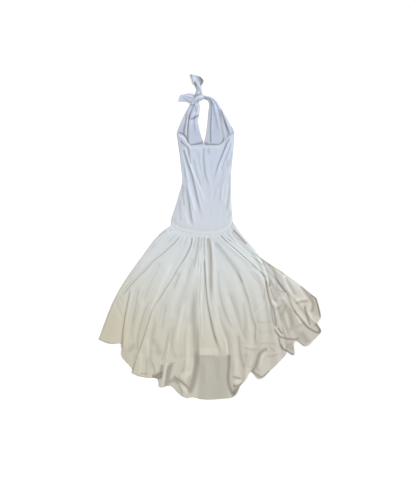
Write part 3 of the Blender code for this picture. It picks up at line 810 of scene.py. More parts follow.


# %% [markdown]
# ## The creases of the back skirt
#
# The long folds start at the gathers and run down to the hem, where the train lies in lobes
# with mouths between them, darkened with painted shade. Soft hollows, ridges with painted
# highlights and fields of painted shade lie between the folds. The tables go through them
# from the seam down. The creases at the right edge run on over the front skirt below, so
# its sheet takes that table too.

# %% Creases across the right edge
SIDE_CREASES = [
    ("nook rim", "dark", 0.5, 5, 6, 0, [(276, 282), (277.3, 288), (280, 291), (284, 292)]),
    ("nook shade", "dark", 0.1, 9, 5, 5, [(275.5, 294), (280, 293.6), (285, 294.5)]),
    ("nook light", "ridge", 2.0, 9, 5, 5, [(277.5, 299), (281, 298.6), (284.5, 299)]),
    ("nook bright", "ridge", 2.2, 8, 3, 3, [(271.5, 301.5), (274.5, 304.5), (278, 304.5)]),
    ("nook arc", "dark", 0.5, 5, 4, 6, [(274.5, 309.5), (279.5, 307.5), (283, 303)]),
    ("side edge shade", "dark", 0.2, 7, 8, 8, [(275, 287), (277, 293), (279.5, 301)]),
    ("tongue light", "ridge", 1.2, 6, 6, 5, [(280, 321), (283.5, 329), (286, 335)]),
    ("tongue line", "dark", 1.0, 4.5, 5, 4, [(277.5, 327), (279.7, 330.5), (282.5, 334)]),
    ("tongue left light", "ridge", 2.0, 4.5, 5, 4, [(275.5, 327.5), (277.8, 331.5), (280.5, 335.3)]),
    ("tongue edge", "dark", 0.9, 4.5, 4, 4, [(274, 328.5), (276, 332.5), (279, 336)]),
    ("tongue shade", "dark", 0.25, 8, 8, 5, [(281.5, 314), (285.3, 325), (288.5, 334)]),
    ("lower hem edge", "dark", 1.0, 4.5, 3, 5,
        [(277.5, 334.5), (280, 336.6), (284.5, 338), (290, 338.9), (296.5, 339), (299, 337.3)]),
    ("corner wedge", "dark", 0.8, 4, 6, 0, [(278, 337), (279.5, 342), (280.5, 346.5)]),
    ("tail edge", "dark", 0.8, 5, 0, 0, [(284, 349.8), (288, 352), (293.5, 354.5)]),
    ("tail roll", "dark", 0.6, 5, 4, 4, [(285.5, 348.5), (288.3, 345), (292.5, 343.3)]),
    ("tail field", "dark", 0.4, 12, 4, 4, [(288.5, 348.5), (291.5, 348), (294, 347.5)]),
    ("corner wedge low", "dark", 1.0, 6.5, 4, 0, [(280.3, 344), (282.5, 348.5), (286.5, 350.8)]),
    ("upper edge shade", "dark", 0.7, 5, 20, 0,
        [(251, 252.6), (257, 255.9), (262.5, 259.8), (267, 263.2), (270, 266)]),
    ("side strip shade", "dark", 0.12, 7, 8, 8, [(276, 308), (278, 315), (280, 323)]),
]

# %% Creases below the hip seam
SEAM_CREASES = [
    ("left seam fold", "pleat", 1.0, 4, 6, 40,
        [(172, 230), (167, 234), (162, 238), (157, 242.5), (152, 247.5), (148, 252)]),
    ("left outline fold", "slit", 0.5, 4, 4, 10, [(167, 231), (162, 233.5), (158.5, 237)]),
    ("left top shade", "ridge", 1.2, 8, 6, 30, [(170, 232), (163, 238.5), (155, 246)]),
    ("left gather", "slit", 0.6, 8, 4, 30, [(198.5, 236.5), (197.3, 248), (194.8, 261), (192.8, 270)]),
    ("centre gather", "slit", 0.6, 4, 3, 20, [(204, 237), (204, 246), (204.6, 257)]),
    ("outer side fold", "pleat", 0.9, 3.5, 4, 12,
        [(224, 236), (228.6, 240), (237, 246.5), (245.5, 253), (254, 259), (261.5, 264.5), (266, 268)]),
    ("hip tuck", "slit", 0.5, 4, 4, 8, [(231.5, 232), (235, 237), (241, 240.5), (245, 244)]),
    ("hip second tuck", "pleat", 0.4, 4, 4, 8, [(227, 233.5), (231, 238), (236, 243)]),
    ("hip edge", "dark", 0.9, 5.5, 4, 6, [(233, 230), (237.5, 234.5), (242, 239.5), (246.5, 244.5)]),
    ("gather a", "slit", 0.5, 3.5, 3, 20, [(195.5, 237), (194.6, 243), (193.5, 250)]),
    ("gather b", "slit", 0.55, 3.5, 3, 20, [(201.5, 237.3), (201.2, 243), (201, 250)]),
    ("gather c", "slit", 0.5, 3.5, 3, 18, [(207, 237.5), (207, 243), (207.4, 249)]),
    ("gather d", "slit", 0.5, 3.5, 3, 20, [(212.8, 237.8), (214.5, 243), (217, 249)]),
    ("gather e", "slit", 0.5, 3.5, 3, 20, [(217.5, 236.8), (221, 241.5), (225.5, 246.5)]),
    ("gather f", "slit", 0.45, 3.5, 3, 20, [(187.5, 236.3), (186, 241), (183.5, 247)]),
    ("gather g", "slit", 0.4, 3.5, 3, 20, [(183.5, 235.8), (181, 241), (177.5, 247)]),
    ("gather h", "slit", 0.4, 3.5, 3, 20, [(176, 234), (171.5, 239), (166, 244.5)]),
    ("side first light", "ridge", 1.6, 5, 6, 20, [(226, 243.5), (235, 251.5), (244, 259), (252, 265)]),
    ("side second light", "ridge", 1.6, 5, 6, 20, [(230.5, 241.8), (241, 250), (252, 258.3), (261, 265.5)]),
]

# %% Creases of the left part
LEFT_CREASES = [
    ("left long fold", "dark pleat", 1.0, 4, 8, 30,
        [(180, 236.5), (174, 243.5), (169, 248), (164, 252.5), (154, 261), (147, 268.5),
         (138.5, 277), (131.5, 284.5), (125.5, 292), (121, 296.5)]),
    ("left twin fold", "pleat", 0.8, 3.5, 40, 20,
        [(160, 253), (154, 259), (147, 265.5), (137, 275), (130.5, 282), (124, 289.5), (120, 293)]),
    ("left side swell", "right side up", 0.7, 7, 30, 30, [(143, 262), (135, 271), (127.5, 281)]),
    ("left field gather", "hollow", 0.9, 14, 20, 40, [(160, 262), (153, 276), (147, 290), (142, 304)]),
    ("panel fold", "dark pleat", 1.0, 4.5, 8, 0,
        [(192, 236.5), (191.3, 243.5), (188.6, 251), (185, 257.5), (180, 265), (174.3, 275),
         (170, 282.5), (165, 289.5), (160, 298), (155, 305), (151.5, 312), (149, 320), (146.5, 328),
         (142, 342), (137.3, 355), (133.6, 367), (132.5, 371)]),
    ("panel shade", "hollow", 1.2, 10, 20, 30, [(179.5, 272), (176, 281), (172, 292)]),
    ("flap groove", "pleat", 1.1, 6, 25, 0,
        [(130.5, 288), (128, 300), (126, 310), (124.5, 318), (123.3, 326), (122.3, 335), (121.8, 344)]),
    ("flap branch", "hollow", 0.9, 5, 20, 6, [(115.5, 300), (118.5, 308), (123, 317.5)]),
    ("flap top tuck", "slit", 0.35, 4, 4, 15, [(119, 296), (122.5, 300), (123.5, 305)]),
    ("left soft fold", "hollow", 1.0, 11, 30, 60, [(138.5, 288), (135.5, 302), (133, 316), (130, 330)]),
    ("left low smear", "dark", 0.35, 14, 20, 15, [(136, 342), (131.5, 348), (127.5, 353)]),
    ("left inner fold", "slit", 0.5, 6, 30, 10,
        [(150, 300), (145.5, 309), (142, 320), (139, 330), (137.6, 339), (137.4, 350)]),
    ("left field shade", "right side up", 0.7, 10, 30, 30, [(140, 300), (136, 312), (133, 326), (131, 340)]),
    ("left field second", "right side up", 0.7, 9, 30, 20,
        [(157, 318), (154, 330), (151.5, 342), (150, 352)]),
    ("middle left shade", "right side up", 0.5, 24, 40, 40, [(196, 268), (189, 285), (183, 302), (179, 320)]),
    ("middle left light", "ridge", 0.9, 18, 40, 40, [(184, 300), (180, 316), (177, 332), (175, 345)]),
    ("middle shade", "hollow", 0.9, 14, 40, 50, [(166, 302), (163, 318), (160.5, 334)]),
    ("middle fold", "slit", 0.5, 6, 40, 6,
        [(169, 328), (167.8, 337), (165.7, 347), (163.6, 355), (162, 361)]),
    ("lower shade", "slit", 0.35, 8, 30, 20,
        [(173.8, 324), (172.3, 335), (172, 346), (174.5, 355), (178, 360)]),
    ("patch", "dark", 0.3, 16, 15, 20, [(152, 338), (155.5, 343), (158.5, 350), (160, 357)]),
    ("left field light", "ridge", 0.8, 16, 40, 40, [(172, 262), (163, 280), (155, 297), (148, 314)]),
    ("middle right light", "ridge", 0.8, 18, 40, 20, [(188, 320), (186.5, 340), (187, 358), (186.5, 370)]),
    ("patch light", "ridge", 0.8, 13, 15, 20, [(146, 338), (147.5, 348), (147.5, 358)]),
]

# %% Creases of the middle
MIDDLE_CREASES = [
    ("left soft gather", "hollow", 0.8, 11, 20, 40, [(192.5, 258), (188.8, 270), (185, 283)]),
    ("left gather light", "ridge", 0.8, 6, 10, 40, [(199.5, 252), (199, 266), (197, 280)]),
    ("broad valley", "dark", 0.5, 17, 150, 0,
        [(197.5, 278), (195.5, 290), (194, 303), (193.5, 318), (194.6, 332), (195.5, 345), (196.5, 358),
         (195.8, 370), (193.3, 382), (190, 392)]),
    ("broad valley light", "ridge", 1.0, 8, 40, 30, [(201, 290), (201, 305), (201.5, 322), (202, 340)]),
    ("centre fold", "dark pleat", 0.85, 6, 25, 60,
        [(204, 258), (204.8, 270), (205.5, 285), (206.4, 298), (208.3, 311), (211.3, 325),
         (215, 338.5), (218, 350)]),
    ("centre fold core", "dark", 0.5, 8, 50, 110,
        [(205, 272), (206, 288), (207.5, 302), (210, 315), (213, 330), (216, 341)]),
    ("centre valley", "dark", 0.65, 11, 5, 120,
        [(208, 238), (209.8, 249), (210.6, 262), (210.8, 277), (211.2, 292), (212, 305)]),
    ("centre valley left", "valley", 0.35, 11, 20, 90, [(210, 245), (210, 265), (210.5, 285), (212, 300)]),
    ("centre left shade", "hollow", 0.9, 8, 30, 40, [(200.5, 262), (200, 276), (199, 294), (199, 312)]),
    ("lower centre shade", "hollow", 1.3, 8, 20, 10,
        [(213.5, 334), (216.5, 342), (219.5, 351), (221.5, 357)]),
    ("lower centre light", "ridge", 0.8, 6, 30, 20, [(213, 315), (216.5, 329), (220.5, 343), (223, 352)]),
    ("long curved fold", "dark", 0.4, 11, 25, 25,
        [(214, 241), (219, 247), (224, 254), (229, 261), (235, 269), (240, 278), (242.5, 285)]),
    ("right soft fold", "hollow", 1.4, 7, 30, 30,
        [(217.5, 268), (218, 281), (219.5, 293), (222.5, 307), (227.5, 320), (233.5, 331)]),
    ("right second fold", "hollow", 1.5, 6, 30, 20,
        [(228.5, 292), (231.5, 300), (235, 310), (238.5, 320), (241.5, 329.5), (247, 341)]),
    ("right third fold", "right side up", 0.8, 9, 30, 30, [(243, 300), (245, 312), (246, 324), (245.5, 334)]),
    ("hem panel fold", "hollow", 1.6, 5, 40, 30,
        [(217.5, 303), (219.5, 314), (222, 326), (226, 336), (228.6, 346), (229, 357)]),
    ("hem panel light", "ridge", 1.5, 5, 20, 4, [(224.5, 336), (226.5, 346), (227, 355)]),
    ("upper side fold", "pleat", 1.0, 4, 4, 12,
        [(220.5, 235.7), (228.5, 243.5), (236, 250), (243, 256.5), (250, 262.5), (257, 269), (263, 274),
         (267.5, 278.5)]),
]

# %% Creases near the right edge
EDGE_CREASES = [
    ("long curved fold low", "pleat", 0.6, 6.5, 25, 25,
        [(237, 272), (240.5, 280), (243.5, 288), (247, 298), (249.5, 309), (252, 319),
         (254.7, 326), (254.4, 334), (254.4, 343)]),
    ("curved fold shade", "dark", 0.18, 10, 30, 20,
        [(242, 286), (246, 297), (248.8, 308), (251, 318), (253.5, 327)]),
    ("short side fold", "hollow", 0.9, 4, 15, 6, [(249, 271.5), (255.5, 280), (260.5, 284)]),
    ("side arc light", "ridge", 0.9, 5, 10, 8, [(247, 269.5), (253, 270.5), (259, 275), (264, 280)]),
    ("side line", "dark", 1.0, 5, 6, 0, [(265.7, 280), (266.3, 286), (267.6, 293), (269, 299), (270.6, 305)]),
    ("side groove", "dark", 0.7, 6, 4, 8,
        [(272.2, 305), (273.2, 310), (274.2, 315), (275.4, 321), (276, 327)]),
    ("puff dark", "dark", 1.0, 6, 4, 6, [(269, 275), (269.9, 281), (269.4, 287.5)]),
    ("puff line", "dark", 0.8, 4.5, 6, 6, [(270.5, 287), (272, 293), (273.6, 298), (276, 302)]),
    ("puff light", "ridge", 2.0, 6, 5, 5, [(265.5, 266), (267.5, 270), (269, 274)]),
    ("side upper line", "pleat", 0.7, 4, 6, 6, [(260, 272), (263.5, 276), (265.5, 281)]),
    ("cross shade", "slit", 0.35, 5, 15, 12, [(255, 321.3), (263, 322.3), (271.5, 321)]),
    ("bent light", "ridge", 0.9, 6, 20, 10, [(265, 301), (262, 306.5), (257.5, 311), (253.3, 316.5)]),
    ("bent shade", "hollow", 0.8, 9, 30, 30, [(263, 284), (264, 294), (261, 303)]),
    ("low cross shade", "hollow", 0.7, 7, 15, 10, [(256, 332), (264, 333), (272, 331.5)]),
    ("corner cross fold", "slit", 0.45, 4, 8, 10, [(259, 344), (266, 343.2), (272, 343.3), (277, 344.5)]),
    ("corner line", "hollow", 0.8, 5, 6, 6, [(254.5, 335), (255, 343), (255.5, 348)]),
    ("sag fold", "slit", 0.5, 4, 10, 0, [(244.5, 347), (250, 349.4), (258, 349), (267, 348)]),
    ("sag light", "ridge", 1.0, 5, 6, 10, [(243.5, 345), (250, 346.5), (257, 346)]),
    ("corner fold", "pleat", 0.5, 4.5, 5, 8, [(268.5, 346), (272, 349.5), (275.5, 352)]),
    ("right edge light", "ridge", 1.0, 6, 15, 15, [(252, 253.5), (258, 258.5), (264, 263.5), (268.5, 268)]),
    ("side second line", "dark", 0.35, 5, 8, 8, [(271.5, 274), (273.5, 281), (275, 289), (277, 296)]),
    ("side groove left", "dark", 0.7, 6, 4, 8,
        [(270.6, 304), (271, 309), (271.6, 314.5), (273, 320.5), (274.8, 326.5)]),
]

# %% Creases at the left of the hem
LEFT_HEM_CREASES = [
    ("middle fold light", "ridge", 1.3, 5, 15, 4, [(169, 342), (168, 351), (166.5, 360)]),
    ("hem valley", "dark", 0.3, 11, 20, 10, [(150, 348), (150.5, 358), (153, 368)]),
    ("cup side", "slit", 0.7, 5, 8, 4, [(152.5, 362), (154.3, 370), (154.5, 375)]),
    ("hem left light", "ridge", 1.0, 14, 20, 0, [(141, 352), (139.5, 363), (138, 373)]),
    ("hem left shade", "hollow", 1.6, 8, 20, 0, [(146, 358), (146, 367), (145, 376)]),
    ("hem left roll", "slit", 0.9, 4, 6, 6, [(138.5, 373.5), (143, 373.7), (148.5, 374)]),
    ("cup", "dark", 1.0, 13, 6, 0, [(151.5, 376.5), (156, 376.2), (161, 373)]),
    ("cup wall", "dark", 0.7, 9, 10, 0, [(162.3, 364), (161, 370.5), (160, 377)]),
    ("hem ridge", "ridge", 1.3, 6, 4, 0, [(166, 362), (165.3, 370), (164, 379), (162.8, 387)]),
    ("step wall", "dark", 0.8, 10, 4, 0, [(169.5, 365), (167.5, 371), (166.3, 379), (165, 386)]),
    ("step valley", "dark", 0.7, 12, 18, 0, [(172.5, 361), (170.3, 368), (168.3, 377), (167.3, 386)]),
    ("step top", "slit", 0.5, 4, 3, 10, [(168, 364), (172, 363.2), (177, 362.5)]),
    ("lobe line", "dark", 0.9, 7, 20, 5,
        [(172, 375), (175, 377.3), (180.5, 380.7), (186.5, 386), (190, 390)]),
    ("lobe top", "ridge", 1.2, 15, 6, 10, [(179.5, 376.5), (184.5, 376.5), (188, 371)]),
    ("lobe shade", "dark", 0.4, 9, 10, 8, [(184.6, 359), (184, 366), (181.5, 373)]),
    ("lobe crease", "slit", 0.3, 4, 5, 6, [(179, 357.5), (182, 356), (185.5, 355.5)]),
    ("lobe second line", "dark", 0.8, 4, 3, 0, [(178.8, 385.8), (180.8, 389.2), (182.3, 393)]),
    ("lobe low light", "ridge", 1.1, 9, 4, 4, [(181.5, 387), (185, 390.5), (187, 394)]),
    ("broad valley line", "dark", 0.5, 9, 120, 0,
        [(196.5, 312), (197, 328), (197.5, 345), (198, 358), (197.3, 368), (195.8, 379), (192.4, 389)]),
    ("valley foot light", "ridge", 0.6, 8, 25, 15, [(191.5, 355), (191.5, 366), (189.5, 376)]),
    ("step low", "dark", 0.6, 12, 8, 8, [(168, 383), (173.5, 380), (180, 384)]),
    ("lobe right shade", "dark", 0.35, 12, 8, 6, [(189, 374), (189, 381), (188, 387)]),
    ("broad valley foot", "dark", 0.8, 16, 90, 0,
        [(195.5, 340), (196, 352), (195.6, 366), (193.5, 378), (190, 391)]),
    ("cup low", "dark", 1.0, 9, 4, 0, [(153, 378), (157.5, 378.3), (161, 376.5)]),
    ("left hem field", "dark", 0.16, 24, 20, 0, [(136, 352), (138, 363), (139, 374)]),
    ("left low field", "dark", 0.2, 16, 10, 6, [(124, 348), (125.5, 356), (128, 363)]),
]

# %% Creases at the right of the hem
RIGHT_HEM_CREASES = [
    ("hem panel foot", "dark", 0.8, 9, 8, 0,
        [(229, 354), (229, 361), (228.7, 369), (228, 377), (228.6, 384), (230.5, 390), (233, 395)]),
    ("right valley", "slit", 0.55, 9, 15, 15,
        [(238, 334), (239, 342), (239.5, 351), (241.3, 360), (244.5, 369)]),
    ("right valley light", "ridge", 0.5, 8, 15, 10, [(234.5, 344), (235, 356), (237, 367)]),
    ("loop valley", "dark", 0.75, 9, 12, 0,
        [(268, 348.3), (263, 350.5), (259.3, 353.8), (257.3, 359.5), (255.6, 365), (252.5, 371)]),
    ("loop light", "right side up", 0.9, 8, 8, 6, [(262, 356), (259.5, 363), (256.5, 369)]),
    ("loop left light", "ridge", 1.0, 7, 8, 4, [(253, 353), (251.5, 360), (249.5, 366)]),
    ("corner low fold", "slit", 0.55, 4.5, 10, 6, [(266, 356.3), (273, 355.8), (279.5, 353)]),
    ("corner low light", "ridge", 0.9, 5, 6, 6, [(270, 352.5), (276, 352.5), (281, 351)]),
    ("corner soft fold", "hollow", 1.0, 6, 10, 15, [(265.7, 353), (264, 359), (262.5, 365)]),
    ("corner mouth", "dark", 0.9, 4.5, 0, 0,
        [(252, 371), (257, 374.5), (261, 376.8), (264.5, 375), (269, 371)]),
    ("hem dimple", "slit", 0.8, 4, 5, 6, [(231.5, 375.5), (236.5, 377.6), (242.5, 379)]),
    ("hem dimple spot", "dark", 0.9, 6, 4, 4, [(234, 377), (237, 377.6), (240, 378.3)]),
    ("hem right light", "ridge", 1.1, 7, 5, 4, [(231, 381.5), (236, 381.8), (242, 380.5)]),
    ("hem triangle top", "dark", 1.0, 7, 3, 0, [(233, 385.8), (238, 385.8), (243, 383.6)]),
    ("hem triangle", "dark", 1.0, 13, 3, 0, [(239, 387), (236.5, 389.5), (234, 393)]),
    ("hem right light field", "right side up", 0.6, 8, 15, 10, [(233.5, 358), (233, 366), (232.5, 373)]),
    ("centre panel shade", "right side up", 0.5, 12, 20, 30, [(203, 362), (203, 372), (202.5, 385)]),
    ("centre panel second", "hollow", 0.6, 12, 20, 30, [(219, 360), (217, 370), (216.5, 384)]),
    ("loop right light", "ridge", 1.3, 9, 8, 6, [(266, 352.5), (262, 357), (260, 363), (257.5, 369)]),
    ("front hem line", "dark", 0.4, 4, 10, 10, [(199.5, 355.6), (207, 356), (215, 355.2)]),
    ("right low field", "dark", 0.2, 16, 15, 10, [(246, 352), (247, 360), (248.5, 368)]),
]
BACK_SKIRT_CREASES = (
    SIDE_CREASES + SEAM_CREASES + LEFT_CREASES + MIDDLE_CREASES + EDGE_CREASES
    + LEFT_HEM_CREASES + RIGHT_HEM_CREASES
)
print("creases of the back skirt:", len(BACK_SKIRT_CREASES))

# %% Helpers of a sheet
RIPPLES = 14
RIPPLE_WIDTHS, RIPPLE_LEAN = (0.6, 1.8), 0.25
SWELLS = (60, 160)
RIPPLE_SUM = 3.7


def columns_for(folds, count, seam_pull):
    """How many columns go between each two folds, by their distance at the seam and the hem."""
    rows = [dict(zip(FOLD_COLUMNS, fold)) for fold in folds]
    at_seam = np.diff([row["seam"] for row in rows])
    hems = np.array([(row["hem_x"], row["hem_y"]) for row in rows], float)
    at_hem = np.hypot(*np.diff(hems, axis=0).T)
    need = seam_pull * at_seam / at_seam.sum() + (1 - seam_pull) * at_hem / at_hem.sum()
    return np.maximum(2, np.round(need * count)).astype(int)


def way_down(middle):
    """The distance from the first row of a grid, and to the last one, along each column."""
    steps = np.linalg.norm(np.diff(middle[..., :2], axis=1), axis=2)
    done = np.concatenate([np.zeros((len(middle), 1)), np.cumsum(steps, axis=1)], axis=1)
    return done, done[:, -1:] - done


def soft_ripples(across, down, seed, height, width):
    """A low uneven rippling that runs mostly down the cloth."""
    rng = np.random.default_rng(seed)
    total = np.zeros(np.broadcast(across, down).shape)
    for _ in range(RIPPLES):
        wave = width * rng.uniform(*RIPPLE_WIDTHS)
        lean = rng.uniform(-RIPPLE_LEAN, RIPPLE_LEAN)
        phase = rng.uniform(0, 2 * math.pi)
        swell = 0.5 + 0.5 * np.sin(down / rng.uniform(*SWELLS) + rng.uniform(0, 2 * math.pi))
        total += swell * np.sin(2 * math.pi * (across + lean * down) / wave + phase)
    return height * total / RIPPLE_SUM


def round_off(middle):
    """Averages the heights of a grid with their neighbours, which rounds its creases."""
    z = middle[..., 2]
    z[1:-1] = 0.5 * z[1:-1] + 0.25 * (z[:-2] + z[2:])
    z[:, 1:-1] = 0.5 * z[:, 1:-1] + 0.25 * (z[:, :-2] + z[:, 2:])


def across_of(middle):
    """The distance across the cloth at mid length, for each column."""
    line = middle[:, middle.shape[1] // 2]
    return lengths_along(line)[:, None]


def hem_turned(from_edge, turn, turned, edge=1.5):
    """The thickness of cloth whose edge is turned over, by the distance from that edge."""
    return CLOTH + (turned - CLOTH) * (1 - ease((from_edge - turn) / edge))


# %% The back skirt's sheet
BACK_COLUMNS, BACK_ROWS = 310, 150
BACK_LENGTH, BACK_DENSE_ENDS, BACK_SEAM_PULL = 850, 2.2, 0.45
SOLID_WAVES = (0.35, 0.5)
HEM_WAVES = 160
PUFF, PUFF_IN, PUFF_OUT, PUFF_AT_HEM = 5, 50, 120, 0.4
SIDE_SHARE = 0.012
BACK_RIPPLES, RIPPLES_IN = {"seed": 5, "height": 0.9, "width": 55}, 120
SEAM_FADE = 6
RESTING, LOWEST = 0.8, 0.6
HEM_TURN, HEM_CLOTH = 11, 1.7
FRONT_HEM = [
    (-573, -531), (-464, -553), (-300, -590), (-130, -604),
    (25, -610), (170, -611), (300, -590), (400, -560),
]
HEM_STEP_START, HEM_STEP_END = 1, 15
PANEL_LEFT, PANEL_LEFT_IN, PANEL_RIGHT, PANEL_RIGHT_IN = -72, 22, 112, 30
# a band painted lighter over the front skirt's turned hem, where the cloth lies double
BAND_END, BAND_DEEP = 42, 36
BAND_LAYERS = 0.5
front_hem_line = along(FRONT_HEM, np.linspace(0, 1, 120))


def make_back_skirt():
    """The back skirt's sheet, which steps down to the floor past the front skirt's hem."""
    downs = levels_down(BACK_LENGTH, BACK_ROWS, BACK_DENSE_ENDS)
    columns = columns_for(BACK_SKIRT_FOLDS, BACK_COLUMNS, BACK_SEAM_PULL)
    grid, seam = fan(BACK_SKIRT_FOLDS, columns, downs)
    done, left = way_down(grid)
    past_hem = np.interp(grid[..., 0], front_hem_line[:, 0], front_hem_line[:, 1]) - grid[..., 1]
    step = ease((past_hem - HEM_STEP_START) / (HEM_STEP_END - HEM_STEP_START))
    sides = ease(np.minimum(seam, 1 - seam) / SIDE_SHARE)[:, None]
    from_hem = PUFF_AT_HEM + (1 - PUFF_AT_HEM) * np.minimum(left / PUFF_OUT, 1)
    puffed = ease(done / PUFF_IN) * ease(from_hem) * sides
    waves = SOLID_WAVES[0] + (SOLID_WAVES[1] - SOLID_WAVES[0]) * (1 - ease(left / HEM_WAVES))
    grid[..., 2] = waves * grid[..., 2] + PUFF * puffed + LAYER * (1 - step) + RESTING
    for k, (count, tallest, longest) in enumerate(GATHERINGS):
        pleats = gathers(seam[:, None], done, count, GATHER_SEED + k, tallest, longest)
        grid[..., 2] += sides * pleats
    ripples = soft_ripples(across_of(grid), done, **BACK_RIPPLES)
    grid[..., 2] += sides * ripples * ease(done / RIPPLES_IN)
    closed = lay_creases(grid, BACK_SKIRT_CREASES, ease(done / SEAM_FADE))
    round_off(grid)
    grid[..., 2] = np.maximum(grid[..., 2], LAYER * (1 - step) + LOWEST)
    x = grid[..., 0]
    # painted light through the cloth: lighter over the front skirt's turned hem, greyer past that hem where
    # the cloth lies single, in the panel between PANEL_LEFT and PANEL_RIGHT only
    band = ease((past_hem + BAND_DEEP) / 6) * (1 - step) * ease((BAND_END - x) / 8)
    smooth_panel = ease((x - PANEL_LEFT) / PANEL_LEFT_IN) * ease((PANEL_RIGHT - x) / PANEL_RIGHT_IN)
    layers = 1 + smooth_panel * (BAND_LAYERS * band - step)
    thickness = hem_turned(left, HEM_TURN, HEM_CLOTH)
    return cloth_sheet("back_skirt_cloth", grid, right_side, thickness, layers, closed)


back_skirt = make_back_skirt()

# %% [markdown]
# ## The front skirt and its heap
#
# The front skirt lies flat under the back skirt, and its right part comes out from under
# it as a heap of folds. The part that is hidden stays flat on the floor, with the soft
# pressed pleats that a weight of cloth leaves. The rise of the heap begins at the back
# skirt's right edge, so the helper below measures how far a point lies beyond that edge.

# %% The folds of the front skirt
FRONT_SKIRT_FOLDS = [
    ("left edge", 0.0, -361, -115, 0, -490, -313, 0, -573, -531, 0),
    ("left", 0.12, -296, -125, 0, -420, -330, 0, -464, -553, 0),
    ("left middle", 0.3, -180, -160, 0, -260, -370, 0, -300, -590, 0),
    ("middle left", 0.45, -90, -180, 0, -120, -390, 0, -130, -604, 0),
    ("middle", 0.6, 5, -180, 0, 15, -395, 0, 25, -609, 0),
    ("middle right", 0.75, 100, -150, 0, 150, -365, 0, 170, -611, 0),
    ("right", 0.85, 170, -125, 0, 240, -330, 0, 300, -590, 0),
    ("below the side", 0.91, 200, -105, 0, 300, -340, 0, 374, -581, 0),
    ("flap trough", 0.93, 204, -100, 0, 322, -332, 0, 404, -597, 0),
    ("flap crest", 0.943, 207, -97, 0, 333, -325, 2, 438, -612, 9),
    ("notch", 0.955, 210, -94, 0, 344, -317, 6, 436, -553, 14),
    ("lower lobe trough", 0.963, 213, -91, 0, 357, -309, 3, 452, -538, 2),
    ("lower lobe crest", 0.97, 215, -88, 0, 371, -302, 14, 502, -566, 16),
    ("lower lobe end", 0.977, 217, -86, 0, 385, -297, 8, 540, -534, 8),
    ("lap groove", 0.983, 219, -84, 0, 396, -291, 1, 572, -501, 2),
    ("lap crest", 0.988, 221, -82, 0, 404, -280, 20, 577, -484, 22),
    ("lap end", 0.992, 222, -79, 0, 410, -262, 13, 556, -446, 14),
    ("top lobe crest", 0.996, 223, -76, 0, 414, -238, 17, 576, -415, 18),
    ("right edge", 1.0, 222, -73, 0, 417, -211, 6, 555, -319, 4),
]
CLEAR_START, CLEAR_END = -6, 12
CREASED_START, CREASED_END = -9, -3

# %% The creases of the heap
HEAP_CREASES = [
    ("upper shade", "dark", 0.85, 5, 6, 6,
        [(268, 262.6), (272, 267), (274.8, 273.5), (277.5, 280.5), (281.5, 287), (286, 292)]),
    ("upper shade broad", "dark", 0.42, 10, 8, 5,
        [(263, 258.5), (268, 262), (272.5, 266.5), (276.5, 273.5), (280, 281), (284, 288)]),
    ("pleat line", "slit", 0.6, 3.5, 5, 8, [(280.5, 273.5), (282.3, 279), (284.5, 286.5)]),
    ("lap ridge", "ridge", 1.3, 5.5, 5, 15, [(282, 275), (285, 283), (288.5, 290), (292, 299), (296.5, 308)]),
    ("lap edge", "dark", 0.45, 3.5, 4, 8, [(287, 293), (288.5, 298), (290.3, 303), (293, 308.5), (296, 313)]),
    ("lap lower edge", "dark", 1.0, 5, 8, 0,
        [(296.5, 314.5), (301, 320), (306, 325.7), (311.5, 329.8), (318, 332.7), (321, 332)]),
    ("lap lower ridge", "ridge", 1.6, 5, 10, 8, [(296, 311), (301.5, 317), (307, 324), (310.5, 327.5)]),
    ("lap shade", "dark", 0.4, 10, 8, 15, [(285, 277), (289, 283.5), (292.5, 290), (295.5, 296)]),
    ("lap shade light", "ridge", 0.4, 9, 10, 8, [(291, 278.5), (296.5, 285), (301, 292), (303, 297)]),
    ("right valley", "dark", 0.7, 11, 5, 8,
        [(300.5, 285), (305, 291), (309.5, 297), (312.7, 302.5), (312.8, 307.5), (310.8, 313)]),
    ("right valley top", "dark", 0.45, 14, 5, 15, [(303, 285), (308, 290.5), (312.5, 297)]),
    ("right tongue light", "ridge", 1.1, 9, 8, 8, [(309.5, 303), (308.5, 311), (311.5, 321)]),
    ("cross line", "dark", 0.7, 4.5, 5, 6, [(294, 304.5), (299, 302.2), (304, 301.3), (308.5, 300.5)]),
    ("cross line light", "ridge", 2.0, 6, 6, 6, [(295, 300), (300.5, 298.5), (306, 297.8)]),
    ("inner line", "dark", 1.0, 5.5, 6, 4, [(304, 305.5), (305.5, 311.5), (307.6, 318.4), (310.3, 326)]),
    ("end black", "dark", 1.3, 5.5, 5, 4,
        [(310.3, 294.6), (315.4, 298.8), (317.3, 305), (318.9, 311.5), (320, 317)]),
    ("mouth", "dark", 1.1, 8, 0, 0, [(316, 324), (318.5, 327), (319.8, 330.5)]),
    ("mouth line", "slit", 0.7, 4, 4, 0, [(311.5, 327), (314.5, 325.8), (317.5, 324)]),
    ("centre brown", "dark", 0.4, 12, 6, 10, [(287, 304), (284.5, 308), (282.7, 312), (282, 317)]),
    ("purple valley", "dark", 0.35, 14, 8, 12, [(288.5, 307), (290.5, 316), (291, 325), (290.5, 332)]),
    ("upper field light", "ridge", 0.8, 7, 8, 8, [(279.5, 297.5), (284, 299), (287, 303)]),
    ("field light", "ridge", 0.6, 10, 8, 8, [(285, 313), (286.5, 320), (288, 328)]),
    ("light patch", "ridge", 1.8, 12, 6, 6, [(295.5, 316), (298, 320), (300, 324.5)]),
    ("patch line", "dark", 0.45, 4.5, 4, 6, [(295.5, 327.5), (299, 325), (303, 323.8)]),
    ("lower lobe shade", "dark", 0.42, 16, 12, 5, [(300, 331), (304, 337), (308, 343)]),
    ("lower lobe light", "ridge", 0.3, 8, 10, 6, [(307, 331), (311, 336), (313, 341)]),
    ("top outline", "dark", 0.8, 4, 6, 10, [(262, 258.2), (270, 263.5), (278, 269.5), (284.5, 275)]),
    ("lap edge spot", "dark", 0.8, 5, 3, 3, [(293.5, 309.5), (295.5, 312.5), (297, 314.5)]),
    ("end field", "dark", 0.28, 15, 6, 6, [(313.5, 300), (315.3, 307), (316, 316)]),
]

